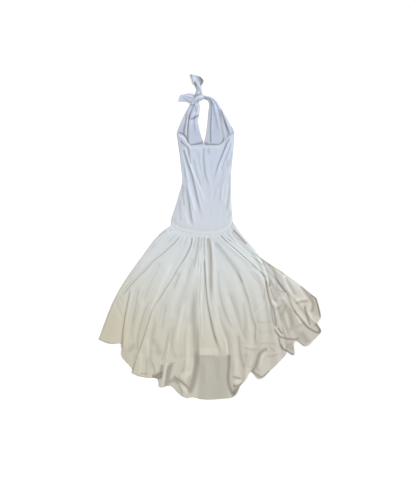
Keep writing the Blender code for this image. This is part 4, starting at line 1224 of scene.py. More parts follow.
# %% The front skirt's sheet
FRONT_COLUMNS, FRONT_ROWS = 250, 120
LAP_EDGE = [
    (318, -165), (344, -214), (375, -264), (401, -292), (419, -338), (438, -383), (467, -411),
    (495, -443), (521, -471), (552, -490), (590, -505),
]
FRONT_LENGTH, FRONT_DENSE_ENDS, FRONT_SEAM_PULL = 700, 1.5, 0.12
LAP_FOOT = 3
LAP_RISE = 4
LOWER_LAYER = 5
HEAP_WAVES = 0.3
END_ROLL, END_ROLL_FROM, END_ROLL_IN = 0.55, 45, 60
PRESSED, PRESSED_PLEATS, PLEAT_LIMIT = 0.45, (0.35, 0.3), 0.8
FRONT_RIPPLES, FRONT_RIPPLES_IN = {"seed": 9, "height": 1.0, "width": 40}, 30
# painted light through the cloth: greyer where the front skirt lies single, lighter on the lap, where it lies
# double
LOWER_LAYERS, LAP_LAYERS = 0.55, 0.6


def signed_distance(plan, line):
    """How far points lie to the left of a line, going along it, below 0 to its right."""
    nearest, side, _, _ = beside_line(plan.reshape(-1, 2), line)
    return np.where(side < 0, nearest, -nearest).reshape(plan.shape[:-1])


def make_front_skirt():
    """The front skirt's sheet, flat below the back skirt and heaped beyond its right edge."""
    downs = levels_down(FRONT_LENGTH, FRONT_ROWS, FRONT_DENSE_ENDS)
    columns = columns_for(FRONT_SKIRT_FOLDS, FRONT_COLUMNS, FRONT_SEAM_PULL)
    grid, _ = fan(FRONT_SKIRT_FOLDS, columns, downs)
    done, left = way_down(grid)
    back_side = fold_lines(BACK_SKIRT_FOLDS[-1:], np.linspace(0, 1, 25))[0][:, :2]
    beyond = signed_distance(grid[..., :2], back_side)
    clear = ease((beyond - CLEAR_START) / (CLEAR_END - CLEAR_START))
    ripples = np.abs(soft_ripples(across_of(grid), done, **FRONT_RIPPLES))
    pleats = PRESSED_PLEATS[0] + PRESSED_PLEATS[1] * ripples * ease(done / FRONT_RIPPLES_IN)
    pleats = np.clip(pleats, 0, PLEAT_LIMIT)
    above_lap = signed_distance(grid[..., :2], along(LAP_EDGE, np.linspace(0, 1, 60)))
    lapped = ease((above_lap + LAP_FOOT) / (2 * LAP_FOOT))
    lapped = lapped * (1 - END_ROLL * ease((above_lap - END_ROLL_FROM) / END_ROLL_IN))
    heaped = LOWER_LAYER + LAP_RISE * lapped + HEAP_WAVES * grid[..., 2]
    grid[..., 2] = heaped * clear + PRESSED + pleats * (1 - clear)
    creased = ease((beyond - CREASED_START) / (CREASED_END - CREASED_START))
    closed = lay_creases(grid, SIDE_CREASES + HEAP_CREASES, creased)
    round_off(grid)
    grid[..., 2] = np.maximum(grid[..., 2], LOWEST)
    thickness = CLOTH + (hem_turned(left, HEM_TURN, HEM_CLOTH) - CLOTH) * clear
    layers = LOWER_LAYERS + LAP_LAYERS * lapped
    return cloth_sheet("front_skirt_cloth", grid, front_side, thickness, layers, closed)


front_skirt = make_front_skirt()

# %% [markdown]
# ## The back bodice
#
# The bodice is a single low panel that drapes in long soft folds from the underarms to the
# hips. Its plan is spanned by four measured lines: the low top edge, the two side seams
# and the hip seam. Each point of the sheet takes its place from all four, as cloth that
# is held on four sides does.

# %% The edges of the bodice
LEFT_SIDE = [
    (-201, 59), (-200, 90), (-184, 138), (-153, 241), (-141, 290), (-148, 360), (-158, 455), (-171, 540),
]
RIGHT_SIDE = [
    (118, 82), (114, 140), (110, 205), (109, 270), (110, 339), (118, 420), (125, 490), (126, 541),
]
BACK_EDGE = [
    (-171, 540), (-150, 534), (-130, 517), (-113, 489), (-98, 478),
    (-25, 476), (50, 480), (76, 498), (95, 520), (126, 541),
]

# %% The creases of the bodice
BODICE_CREASES = [
    ("under the top edge", "dark", 0.8, 3.5, 3, 3,
        [(190, 145.4), (197.5, 144.4), (204, 144.6), (212.5, 144.7), (219, 144.6), (222, 142.5)]),
    ("rolled edge light", "ridge", 1.6, 6, 4, 4, [(178.5, 136), (183, 139), (187, 143)]),
    ("rolled edge", "dark", 0.9, 4.5, 5, 45,
        [(180, 140.5), (183.8, 144.3), (187.3, 147.3), (188.8, 152), (189.3, 157), (190, 161)]),
    ("rolled edge tail", "slit", 0.6, 4, 5, 20, [(189, 153), (190.3, 161), (191.7, 166)]),
    ("main drape", "valley", 1.2, 6, 6, 130,
        [(183.5, 149.5), (185.5, 157), (188, 164.5), (190.6, 172), (193.2, 182), (195, 190.5),
         (197, 199.5), (198.8, 207), (200.6, 214), (202.5, 221)]),
    ("main drape line", "dark", 0.4, 8, 25, 140,
        [(184.5, 153), (187.5, 163), (190.5, 172), (193, 181.5), (195.3, 190.5), (197.3, 199.5), (200, 210),
         (202, 218)]),
    ("main drape light", "ridge", 1.5, 6, 15, 50,
        [(189.8, 163), (193.3, 173), (197.3, 182.5), (201.3, 193), (204.5, 205)]),
    ("second drape", "dark", 0.3, 7, 20, 30, [(193.5, 158), (195.6, 169), (198.2, 178.5), (201.5, 188)]),
    ("left fan", "hollow", 0.8, 6, 10, 30, [(197.5, 152), (199, 162), (200.5, 173)]),
    ("left light", "ridge", 0.9, 6, 15, 40, [(181.5, 148), (184, 161), (187, 174), (189.5, 186)]),
    ("waist shade", "hollow", 1.2, 5, 15, 20, [(183.5, 166), (185.8, 177), (188, 187)]),
    ("hip drape", "valley", 1.0, 7, 110, 50,
        [(184.5, 178), (186.8, 191), (188.6, 202), (190, 212), (191.5, 221), (193, 227)]),
    ("hip drape line", "dark", 0.38, 8, 80, 70,
        [(184.8, 178), (186.8, 191), (188.6, 202), (190, 213), (192, 224), (193, 228)]),
    ("hip drape light", "ridge", 1.1, 6, 25, 30, [(190, 192), (192.7, 203), (194.8, 214)]),
    ("side drape", "dark", 0.35, 6, 10, 20, [(182.5, 184), (183, 196), (184.8, 208)]),
    ("low side drape", "dark", 0.3, 6, 12, 10, [(180, 200), (180, 212), (181, 221.5)]),
    ("low side light", "ridge", 0.8, 6, 12, 15, [(184, 212), (186, 219), (188.5, 226)]),
    ("hip pucker", "hollow", 0.6, 4, 4, 12, [(173, 219), (177, 223.5), (181, 227.5)]),
    ("centre drape", "slit", 0.75, 5, 4, 80,
        [(203.8, 147.5), (203.6, 158), (204.4, 168), (205.8, 177), (208.3, 184), (210, 190)]),
    ("centre drape light", "ridge", 0.8, 5, 6, 40, [(201, 149), (200.8, 160), (201.5, 172)]),
    ("centre tuck", "dark", 0.35, 9, 3, 12, [(208.4, 148), (208.8, 155)]),
    ("right drape", "pleat", 1.2, 5, 5, 110,
        [(230, 138.5), (227, 143), (224.4, 149.3), (221.3, 157), (218, 164.5), (214.5, 176), (212.5, 184)]),
    ("right drape light", "ridge", 0.8, 5, 10, 40, [(226.5, 149), (223.5, 157), (220, 167), (217.5, 177)]),
    ("right long drape", "dark pleat", 0.45, 4.5, 10, 50,
        [(232, 151), (230.3, 161.5), (226.3, 173), (223, 182), (220.6, 193), (219.4, 205)]),
    ("right fan", "hollow", 0.9, 6, 10, 40, [(228, 160), (224, 171), (220, 182), (217.5, 192)]),
    ("right fan second", "hollow", 0.5, 6, 20, 30, [(217.5, 183), (214.5, 193), (213, 204)]),
    ("right low drape", "dark", 0.4, 6.5, 20, 30, [(230.3, 174), (229.5, 188), (228.2, 200), (226.5, 212)]),
    ("right hip fold", "hollow", 1.2, 6, 5, 10, [(231.5, 212.5), (228.5, 216.5), (225.5, 220)]),
    ("right hip light", "ridge", 1.0, 6, 4, 6, [(230.5, 206), (229.5, 211)]),
    ("between light", "ridge", 0.9, 10, 30, 30, [(184.5, 166), (187.5, 182), (191.5, 198), (195.5, 213)]),
    ("right drape shade", "dark", 0.5, 6, 5, 110,
        [(229, 139), (226, 145), (222.8, 153.5), (219.5, 162), (217, 171), (215, 178)]),
    ("right drape second", "pleat", 0.8, 5, 10, 40, [(231.5, 143), (228, 152), (224, 162), (220, 173)]),
    ("right fan light", "ridge", 0.7, 9, 15, 40, [(228.5, 166), (224.5, 178), (222, 190), (221, 203)]),
    ("right low light", "ridge", 0.7, 9, 20, 20, [(226.8, 182), (225.5, 195), (224, 207)]),
    ("top edge left light", "ridge", 0.55, 5, 4, 4, [(189.5, 148.6), (194, 148.8), (199, 148)]),
    ("top edge right light", "ridge", 0.55, 5, 4, 4, [(212.5, 148.4), (217, 147.6), (221, 145.6)]),
]

# %% The bodice's sheet
BODICE_COLUMNS, BODICE_ROWS = 130, 170
BODICE_LENGTH = 440
BODICE_PUFF = 5
BODICE_RIPPLES = {"seed": 3, "height": 0.8, "width": 42}
EDGE_TURN, EDGE_CLOTH = 9, 1.7
# a band along the hip seam is painted lighter, for the light through the doubled seam allowance
SEAM_BAND = 17


def bodice_plan(shares, downs):
    """The bodice's grid between its top edge, its sides and the hip seam, seen from above."""
    upper, lower = along(BACK_EDGE, shares), hip_seam(shares, -HALF_GAP)
    left, right = along(LEFT_SIDE, 1 - downs), along(RIGHT_SIDE, 1 - downs)
    down = downs[None, :, None]
    grid = upper[:, None] * (1 - down) + lower[:, None] * down
    for side, first, last, pull in (
        (left, BACK_EDGE[0], LEFT_SIDE[0], 1 - shares), (right, BACK_EDGE[-1], RIGHT_SIDE[0], shares),
    ):
        straight = np.array(first) * (1 - downs[:, None]) + np.array(last) * downs[:, None]
        grid = grid + (side - straight)[None] * pull[:, None, None]
    return grid


def make_back_bodice():
    """The bodice's sheet, which puffs up between its held edges."""
    shares = np.linspace(0, 1, BODICE_COLUMNS)
    downs = levels_down(BODICE_LENGTH, BODICE_ROWS, 0.9)
    grid = np.zeros((BODICE_COLUMNS, BODICE_ROWS, 3))
    grid[..., :2] = bodice_plan(shares, downs)
    done, left = way_down(grid)
    sides = ease(np.minimum(shares, 1 - shares) / 0.08)[:, None]
    ends = (0.2 + 0.8 * ease(done / 20)) * (0.3 + 0.7 * ease(left / 40)) * ease(left / 6)
    grid[..., 2] = LAYER + RESTING + BODICE_PUFF * sides * ends
    grid[..., 2] += sides * ends * soft_ripples(across_of(grid), done, **BODICE_RIPPLES)
    closed = lay_creases(grid, BODICE_CREASES, ease(left / 5))
    round_off(grid)
    grid[..., 2] = np.maximum(grid[..., 2], LAYER + LOWEST)
    thickness = hem_turned(done, EDGE_TURN, EDGE_CLOTH)
    layers = 1 + 0.5 * (1 - ease((left - SEAM_BAND) / 3))
    return cloth_sheet("back_bodice_cloth", grid, right_side, thickness, layers, closed)


back_bodice = make_back_bodice()

# %% [markdown]
# ## The two halves of the front
#
# Above the back's top edge the inside of the front shows. Each half narrows from the
# underarm into a strap, and gathers as it narrows. A half is laid out by levels: each row
# of its table gives its outer and its inner edge at one level, from the hip up to the
# knot, and the sheet is stretched between the two edges.

# %% The levels of the front
LEVEL_COLUMNS = ("name", "outer_x", "outer_y", "inner_x", "inner_y", "rise")
LEFT_FRONT_LEVELS = [
    ("hip", -200, 90, -31, 62, 0),
    ("high hip", -184, 138, -31, 120, 0),
    ("below the waist", -153, 241, -31, 241, 0),
    ("waist", -142, 300, -31, 310, 0),
    ("ribs", -150, 385, -31, 390, 0),
    ("foot of the neckline", -166, 497, -33, 487, 0),
    ("underarm", -171, 541, -44, 520, 0),
    ("bust", -157, 580, -54, 558, 6),
    ("upper bust", -139, 622, -61, 598, 8),
    ("gathers", -122, 656, -58, 634, 8),
    ("strap", -101, 690, -52, 672, 7),
]
RIGHT_FRONT_LEVELS = [
    ("hip", 116, 115, -31, 62, 0),
    ("high hip", 112, 165, -31, 120, 0),
    ("below the waist", 109, 241, -31, 241, 0),
    ("waist", 109, 310, -31, 310, 0),
    ("ribs", 115, 390, -31, 390, 0),
    ("foot of the neckline", 125, 490, -29, 487, 0),
    ("underarm", 125, 549, -23, 520, 0),
    ("bust", 105, 588, -16, 558, 6),
    ("upper bust", 84, 624, -11, 600, 9),
    ("gathers", 62, 664, -7, 645, 9),
    ("strap", 38, 702, -3, 688, 8),
    ("neck", 8, 726, -10, 707, 6),
]
KNOT_CENTRE = (-57, 729)
KNOT_REACH = (26, 23)
LEFT_STRAP_END = (math.radians(-136), math.radians(-92))
RIGHT_STRAP_END = (math.radians(18), math.radians(-24))
STRAP_END_RISE = 5

# %% The creases of the front
LEFT_FRONT_CREASES = [
    ("under the flap", "dark", 0.9, 4, 3, 2, [(190.8, 119.6), (194.2, 118), (197.3, 116.4), (199, 114.4)]),
    ("outer line", "dark", 1.0, 5, 60, 0, [(189, 108.5), (187, 114), (185.5, 123), (184, 129), (183.8, 135)]),
    ("second line", "dark", 1.0, 4.5, 60, 0,
        [(193, 107), (190.6, 112.5), (189, 118), (188.2, 123), (187.8, 129), (187.7, 135), (188.2, 141),
         (189, 145)]),
    ("light between", "ridge", 1.3, 4.5, 10, 6, [(187.8, 118), (186.5, 126), (186, 135)]),
    ("strap line", "slit", 0.35, 4, 4, 8, [(196, 101.8), (193.5, 104.3), (190.5, 108)]),
    ("outer light", "ridge", 0.9, 5, 10, 10, [(184.5, 115), (182, 123), (180.5, 130)]),
    ("edge shadow", "dark", 1.0, 5, 4, 0,
        [(177.5, 133), (182.5, 133.8), (186.5, 138), (188.5, 143.5), (191, 145), (198, 143.6), (204, 143)]),
    ("v foot", "dark", 0.6, 6, 5, 0, [(198, 143.3), (201.5, 142.4), (204, 141.5)]),
]
RIGHT_FRONT_CREASES = [
    ("main line", "dark", 0.8, 6, 20, 4,
        [(220, 108), (222.4, 115), (224.8, 122), (227, 128.5), (229.2, 135)]),
    ("strap line", "slit", 0.45, 3, 8, 10, [(214.5, 100), (217, 104.5), (219, 109), (220, 114)]),
    ("middle line", "dark", 0.5, 3.5, 8, 8,
        [(219, 113), (220.2, 119), (221.4, 125), (222.8, 132.5), (223.8, 139)]),
    ("strap light", "ridge", 2.4, 5.5, 6, 12, [(212.5, 101), (215, 105.5), (217.5, 111)]),
    ("strap second light", "ridge", 2.0, 5, 6, 12, [(215.5, 99.8), (218.5, 104.5), (221, 109.5)]),
    ("neck line", "dark", 1.0, 4, 0, 8,
        [(209.6, 99.3), (211, 102), (211.5, 109), (211.2, 117), (210.8, 125), (210.6, 135), (210.8, 143)]),
    ("strap root", "dark", 0.8, 4, 0, 8, [(204.5, 98.6), (207.5, 98.6), (210, 100)]),
    ("neck light", "ridge", 0.8, 5, 8, 8, [(208.3, 108), (208.5, 120), (207, 132)]),
    ("middle light", "ridge", 0.9, 5, 10, 10, [(221.5, 117), (223.3, 125), (225, 133)]),
    ("panel shade", "hollow", 0.6, 14, 20, 10, [(215.5, 112), (216, 125), (216.5, 137)]),
    ("edge shadow", "dark", 1.0, 5, 0, 0,
        [(204, 143), (206, 144.3), (212.5, 144.5), (219.6, 144.6), (222.6, 142), (223.8, 138)]),
    ("v foot", "dark", 0.7, 6, 0, 6, [(204, 142), (206, 143), (209, 143.8)]),
    ("underarm", "dark", 0.9, 4.5, 4, 0, [(226.5, 136), (230, 136), (233.5, 133)]),
    ("outer light", "ridge", 0.9, 5, 10, 10, [(225.5, 115), (228.5, 122), (231, 129)]),
    ("main line fold", "pleat", 0.8, 6, 8, 4,
        [(220, 108), (222.4, 115), (224.8, 122), (227, 128.5), (229.2, 135)]),
]

# %% The front's sheets
HALF_COLUMNS, HALF_ROWS = 64, 150
HIDDEN_LEVELS, HIDDEN_ROWS = 5, 39
OPEN_FROM, OPEN_IN = 470, 60
OPEN_WAVES = 0.7
CREASES_FROM, CREASES_IN = 462, 16
FRONT_WAVES = 3
NECK_COLUMNS, NECK_CLOTH = 5, 1.6
# how much cloth the inside shows as, what the strap adds, and from where and within what;
# this paints the light through the cloth, lighter where it lies double
SINGLE_LAYERS, DOUBLE_LAYERS = 0.72, 0.48
LEFT_DOUBLE, RIGHT_DOUBLE = (583, 6), (625, 60)
KNOT_LOBES, LOBE_DEPTH, LOBE_TURN = 3, 0.07, 0.6


def knot_edge(angles, away=0.0):
    """Points of the knot's outline, moved out from it."""
    angles = np.atleast_1d(angles)
    lobe = 1 + LOBE_DEPTH * np.cos(KNOT_LOBES * angles + LOBE_TURN)
    return np.column_stack([
        KNOT_CENTRE[0] + (KNOT_REACH[0] * lobe + away) * np.cos(angles),
        KNOT_CENTRE[1] + (KNOT_REACH[1] * lobe + away) * np.sin(angles),
    ])


def front_points(table, strap_end, side, shares, levels):
    """Points of one half of the front. The side is -1 for the left half and 1 for the right."""
    rows = [dict(zip(LEVEL_COLUMNS, level)) for level in table]
    stations = np.arange(len(rows) + 2)
    edges = []
    for edge, seam_share, angle in (("outer", 0.5 + 0.5 * side, 0), ("inner", 0.5, 1)):
        line = [(row[edge + "_x"], row[edge + "_y"], row["rise"]) for row in rows]
        line.insert(0, (*hip_seam(seam_share, -HALF_GAP)[0], 0))
        line.append((*knot_edge(strap_end[angle], 2 * HALF_GAP)[0], STRAP_END_RISE))
        edges.append(through(line, stations, levels))
    points = edges[0] * (1 - shares[:, None]) + edges[1] * shares[:, None]
    at_seam = hip_seam(0.5 + 0.5 * side - 0.5 * side * shares, -HALF_GAP)
    near_seam = (1 - ease(levels))[:, None]
    points[:, :2] = points[:, :2] * (1 - near_seam) + at_seam * near_seam
    points[:, 0] += side * shares * HALF_GAP
    wave = 0.5 - 0.5 * np.cos(2 * math.pi * FRONT_WAVES * shares)
    points[:, 2] = np.maximum(points[:, 2], 0) * wave
    return points


def make_front_half(name, table, strap_end, side, creases, double):
    """One half of the front, flat below the back bodice and gathered towards its strap."""
    shares = np.linspace(0, 1, HALF_COLUMNS)
    top = len(table) + 1
    hidden = np.linspace(0, HIDDEN_LEVELS, HIDDEN_ROWS, endpoint=False)
    levels = np.concatenate([hidden, np.linspace(HIDDEN_LEVELS, top, HALF_ROWS - HIDDEN_ROWS)])
    grid_shares, grid_levels = np.meshgrid(shares, levels, indexing="ij")
    points = front_points(table, strap_end, side, grid_shares.ravel(), grid_levels.ravel())
    grid = points.reshape(HALF_COLUMNS, HALF_ROWS, 3)
    if side > 0:
        grid = grid[::-1].copy()
    grid = grid[:, ::-1].copy()
    open_part = ease((grid[..., 1] - OPEN_FROM) / OPEN_IN)
    pressed = 0.25 * (1 + np.sin(grid[..., 0] / 9 + np.sin(grid[..., 1] / 70)))
    grid[..., 2] = PRESSED + grid[..., 2] * OPEN_WAVES * open_part + pressed * (1 - open_part)
    closed = lay_creases(grid, creases, ease((grid[..., 1] - CREASES_FROM) / CREASES_IN))
    round_off(grid)
    grid[..., 2] = np.maximum(grid[..., 2], LOWEST)
    from_inner = np.abs(np.arange(HALF_COLUMNS) - (HALF_COLUMNS - 1 if side < 0 else 0))
    turned = hem_turned(from_inner, NECK_COLUMNS, NECK_CLOTH, 2)[:, None]
    thickness = CLOTH + (turned - CLOTH) * open_part
    layers = SINGLE_LAYERS + DOUBLE_LAYERS * ease((grid[..., 1] - double[0]) / double[1])
    return cloth_sheet(name, grid, wrong_side, thickness, layers, closed)


left_half = make_front_half(
    "front_left_cloth", LEFT_FRONT_LEVELS, LEFT_STRAP_END, -1, LEFT_FRONT_CREASES, LEFT_DOUBLE,
)
right_half = make_front_half(
    "front_right_cloth", RIGHT_FRONT_LEVELS, RIGHT_STRAP_END, 1, RIGHT_FRONT_CREASES, RIGHT_DOUBLE,
)

# %% [markdown]
# ## The turned-back edge
#
# On the left half the neckline's edge is folded back over the inside, right side up, as a
# small flap. It follows the half below it at one layer's height and puffs up a little
# between its edges.

# %% The flap's sheet
FLAP_EDGE = 0.42
FLAP_FOOT = (9.0, 10.1)
FLAP_TOP = 11.6
FLAP_SIZE = (34, 40)
FLAP_PUFF, FLAP_EDGE_RISE, FLAP_LEAST = 3.4, 1.4, 7.5
# the flap and the ties are painted a little lighter through their layers
FLAP_CLOTH, EDGE_LAYERS = 1.2, 1.1
FLAP_CREASES = [
    ("flap hollow", "slit", 0.55, 7, 4, 8, [(195.2, 105.5), (195.4, 109), (195.5, 113)]),
    ("flap light", "ridge", 1.2, 5, 4, 4, [(192.3, 115.5), (194.3, 114.3), (196, 113.5)]),
    ("flap edge light", "ridge", 0.8, 4, 6, 4, [(198.2, 106), (198.7, 110), (198.3, 113.5)]),
]


def make_flap():
    """The turned-back edge, one layer above the half that it belongs to."""
    across, up = np.meshgrid(
        np.linspace(0, 1, FLAP_SIZE[0]), np.linspace(1, 0, FLAP_SIZE[1]), indexing="ij",
    )
    foot = FLAP_FOOT[0] + (FLAP_FOOT[1] - FLAP_FOOT[0]) * across
    share = FLAP_EDGE + (1 - FLAP_EDGE) * across
    level = foot + (FLAP_TOP - foot) * up
    points = front_points(LEFT_FRONT_LEVELS, LEFT_STRAP_END, -1, share.ravel(), level.ravel())
    grid = points.reshape(*across.shape, 3)
    puff = FLAP_PUFF * np.sin(math.pi * across) * (0.4 + 0.6 * np.sin(math.pi * up))
    height = grid[..., 2] + LAYER + FLAP_EDGE_RISE * ease(4 * (1 - across))
    grid[..., 2] = np.maximum(height, FLAP_LEAST) + puff
    closed = lay_creases(grid, FLAP_CREASES)
    return cloth_sheet("neckline_flap_cloth", grid, right_side, FLAP_CLOTH, EDGE_LAYERS, closed)


flap = make_flap()

# %% [markdown]
# ## The knot
#
# The two straps are tied behind the neck in a simple knot. From above it is three short
# bands of gathered jersey over a lump of cloth. Two are the roots of the free ends, and the
# third is the wrap, which comes up from the left strap and goes over the knot to the right.
# Each band is a sheet bent along a path, with small pleats along its length, and all are
# one piece.

# %% Bands of gathered cloth


def bent_band(path, pleats, pleat_rise, columns=22, rows=34):
    """A grid of cloth along a path in space, rounded across and pleated along its length."""
    path = np.asarray(path, float)
    steps = np.linalg.norm(np.diff(path[:, :3], axis=0), axis=1)
    stations = np.concatenate([[0], np.cumsum(steps)])
    line = through(path, stations, np.linspace(0, stations[-1], rows))
    ahead = np.gradient(line[:, :3], axis=0)
    ahead /= np.linalg.norm(ahead, axis=1, keepdims=True)
    aside = np.cross(ahead, (0, 0, 1))
    aside /= np.linalg.norm(aside, axis=1, keepdims=True)
    up = np.cross(aside, ahead)
    share = np.linspace(-1, 1, columns)
    arch = np.cos(share * math.pi / 2)
    pleat = pleat_rise * (0.5 + 0.5 * np.cos(share * math.pi * pleats))
    grid = np.empty((columns, rows, 3))
    for row in range(rows):
        half_width, bulge = line[row, 3:]
        offset = bulge * (arch - 1) + pleat
        grid[:, row] = (
            line[row, :3]
            + (share * half_width)[:, None] * -aside[row]
            + offset[:, None] * up[row]
        )
    return grid


# %% The pieces of the knot
# each point of a path is x, y, z, half width and bulge; then the pleats and their rise
KNOT_BANDS = [
    ("root of the left tie", [
        (-60, 730, 9, 8, 5), (-69, 729, 12, 9, 6), (-80, 725, 8, 9, 4),
    ], 3, 0.8),
    ("root of the top tie", [
        (-66, 733, 9, 8, 4), (-62, 740, 14, 10, 6), (-57, 746, 14, 10, 6), (-54, 751, 9, 10, 4),
    ], 4, 1.0),
    ("wrap", [
        (-94, 690, 11, 7, 3), (-83, 701, 14, 10, 6), (-70, 713, 19, 11, 8), (-57, 721, 22, 11, 8),
        (-44, 726, 20, 10, 8), (-32, 727, 11, 8, 5),
    ], 3, 1.0),
]
KNOT_CREASES = [
    ("above the wrap", "dark", 0.65, 4, 3, 3,
        [(193.5, 98), (195.2, 96), (198, 94.5), (201.8, 94.8), (204.3, 96.3)]),
    ("below the wrap", "slit", 0.6, 3.5, 3, 3, [(193.5, 103.6), (197, 100.8), (199.5, 99.8)]),
    ("wrap pleat", "slit", 0.45, 3.5, 4, 4, [(192.5, 103), (196, 99.7), (201, 97.2), (204.5, 97)]),
    ("wrap light", "ridge", 0.8, 4, 4, 4, [(194, 101), (197.5, 98), (201.5, 96.3)]),
]
# heights and shares of the knot's outline there
KNOT_CORE = [(0, 0.93), (4, 0.95), (8, 0.88), (11, 0.76), (14, 0.55), (15.5, 0.3), (16, 0.12)]
CORE_SIDES = 48
CORE_PLEATS, CORE_PLEAT_DEPTH = 9, 0.035
# the core lies under the bands, so all of it gets painted shade and is greyer; KNOT_LAYERS paints the bands
# lighter
CORE_CARRIES = {"layers": 0.8, "closed": 0.55}
BAND_CLOTH, KNOT_LAYERS = 1.4, 1.5


def joined(name, pieces):
    """Several pieces made one object."""
    with bpy.context.temp_override(
        active_object=pieces[0], object=pieces[0],
        selected_objects=pieces, selected_editable_objects=pieces,
    ):
        bpy.ops.object.join()
    pieces[0].name = name
    pieces[0].data.name = name
    return pieces[0]


def knot_core():
    """The lump of cloth under the bands, pleated all round."""
    angles = np.linspace(0, 2 * math.pi, CORE_SIDES, endpoint=False)
    points = []
    for height, share in KNOT_CORE:
        crumple = share * (1 + CORE_PLEAT_DEPTH * np.sin(CORE_PLEATS * angles + height / 3))
        ring = KNOT_CENTRE + (knot_edge(angles) - KNOT_CENTRE) * crumple[:, None]
        points += [(*place, height + ABOVE_FLOOR) for place in ring]
    foot = tuple(range(CORE_SIDES - 1, -1, -1))
    faces = [foot, tuple(range(len(points) - CORE_SIDES, len(points)))]
    for level in range(len(KNOT_CORE) - 1):
        for k in range(CORE_SIDES):
            here = level * CORE_SIDES + k
            beside = level * CORE_SIDES + (k + 1) % CORE_SIDES
            faces.append((here, beside, beside + CORE_SIDES, here + CORE_SIDES))
    points = np.array(points) + (*CENTRED, 0)
    return piece_of_cloth("knot_core", points, faces, points[:, :2], CORE_CARRIES, right_side)


knot_parts = [knot_core()]
for name, path, pleats, rise in KNOT_BANDS:
    band = bent_band(path, pleats, rise)
    closed = lay_creases(band, KNOT_CREASES)
    knot_parts.append(cloth_sheet("knot " + name, band, right_side, BAND_CLOTH, KNOT_LAYERS, closed))
knot = joined("halter_knot_cloth", knot_parts)
print("knot of", len(KNOT_BANDS), "bands,", len(knot.data.polygons), "faces")

# %% [markdown]
# ## The free ends
#
# Past the knot the straps end in two short tails. The left one lies flat and tapers. The
# upper one twists as it leaves the knot, and at its open end the inside shows in shade,
# which is painted on as dark creases. Each is a sheet between three lines: one side, the
# middle and the other side.

# %% The ties
TIE_COLUMNS = ("a_x", "a_y", "a_rise", "m_x", "m_y", "m_rise", "b_x", "b_y", "b_rise")
LEFT_TIE_START = (math.radians(150), math.radians(181), math.radians(214))
TOP_TIE_START = (math.radians(118), math.radians(88), math.radians(52))
TIE_START_RISES = (5, 9, 5)
TIE_SIZE = (44, 80)
TIE_PLEATS, TIE_PLEAT_RISE = 3, 1.6
TIE_CLOTH = 1.5
TIE_RESTING, TIE_LOWEST = 0.7, 0.9
LEFT_TIE = [
    (-101, 746, 4, -103, 724, 9, -103, 698, 2),
    (-124, 744, 1, -121, 722, 6, -121, 701, 0),
    (-141, 741, 0, -140, 721, 3, -142, 703, 0),
    (-155, 737, 0, -160, 720, 1, -165, 704, 0),
]
TOP_TIE = [
    (-67, 764, 4, -54, 767, 12, -42, 767, 4),
    (-73, 779, 3, -58, 781, 13, -45, 780, 3),
    (-78, 790, 4, -62, 791, 11, -46, 787, 6),
    (-86, 801, 8, -64, 803, 4, -36, 801, 12),
    (-88, 817, 10, -66, 819, 2, -34, 813, 16),
    (-103, 846, 6, -76, 840, 3, -50, 832, 12),
]
# the first three rows paint the shade on the inside of the open end
TOP_TIE_CREASES = [
    ("inside of the end", "dark", 1.0, 13, 0, 0, [(201.5, 78.8), (202.5, 81.3), (201, 84.8)]),
    ("inside field", "dark", 0.7, 8, 0, 2, [(200, 79), (200.3, 82.5), (200, 85.5)]),
    ("tip inside", "dark", 0.8, 6, 0, 4, [(190, 74), (191.3, 76.2), (192.6, 78)]),
    ("top edge", "slit", 0.6, 4, 3, 3, [(192, 75), (196, 75.8), (199.5, 77)]),
    ("twist spot", "dark", 1.1, 7, 3, 4, [(194.2, 81.6), (195.2, 84), (195.8, 87)]),
    ("twist groove", "slit", 0.35, 5, 4, 6, [(196, 86), (196.6, 89.5), (197.3, 93)]),
    ("right groove", "slit", 0.6, 4, 6, 0, [(198.6, 86.5), (200.2, 91), (202.4, 94)]),
    ("soft hollow", "slit", 0.35, 6, 5, 3, [(194, 81.3), (196, 82), (197.7, 81.5)]),
    ("light ridge", "ridge", 1.0, 5, 4, 8, [(198.2, 82), (199.3, 86), (200.6, 90)]),
]
LEFT_TIE_CREASES = [
    ("diagonal", "slit", 0.45, 4, 4, 4, [(181, 95.5), (184.5, 99), (189.5, 102)]),
    ("top pleat", "slit", 0.35, 4, 8, 3, [(184.5, 94.5), (190.5, 95), (194, 97)]),
    ("middle pleat", "slit", 0.35, 4, 8, 3, [(183.5, 96.5), (188.5, 97.5), (193, 99.5)]),
    ("pleat light", "ridge", 0.8, 4.5, 6, 4, [(185, 95.8), (189.5, 96.4), (193, 98)]),
    ("root shade", "slit", 0.7, 5, 0, 2, [(193, 95.7), (194.4, 98.5)]),
]


def tie_grid(table, start, columns, rows):
    """A tie's grid from the knot to its tip, across its three measured lines."""
    sections = [dict(zip(TIE_COLUMNS, section)) for section in table]
    places = np.linspace(0, len(sections), rows)
    sides = []
    for part, angle, rise in zip("amb", start, TIE_START_RISES):
        line = [(s[part + "_x"], s[part + "_y"], s[part + "_rise"]) for s in sections]
        line.insert(0, (*knot_edge(angle, 2 * HALF_GAP)[0], rise))
        sides.append(through(line, range(len(line)), places))
    shares = np.linspace(0, 1, columns)
    grid = np.empty((columns, rows, 3))
    for row in range(rows):
        grid[:, row] = through([side[row] for side in sides], [0, 0.5, 1], shares)
    return grid, shares, places / len(sections)


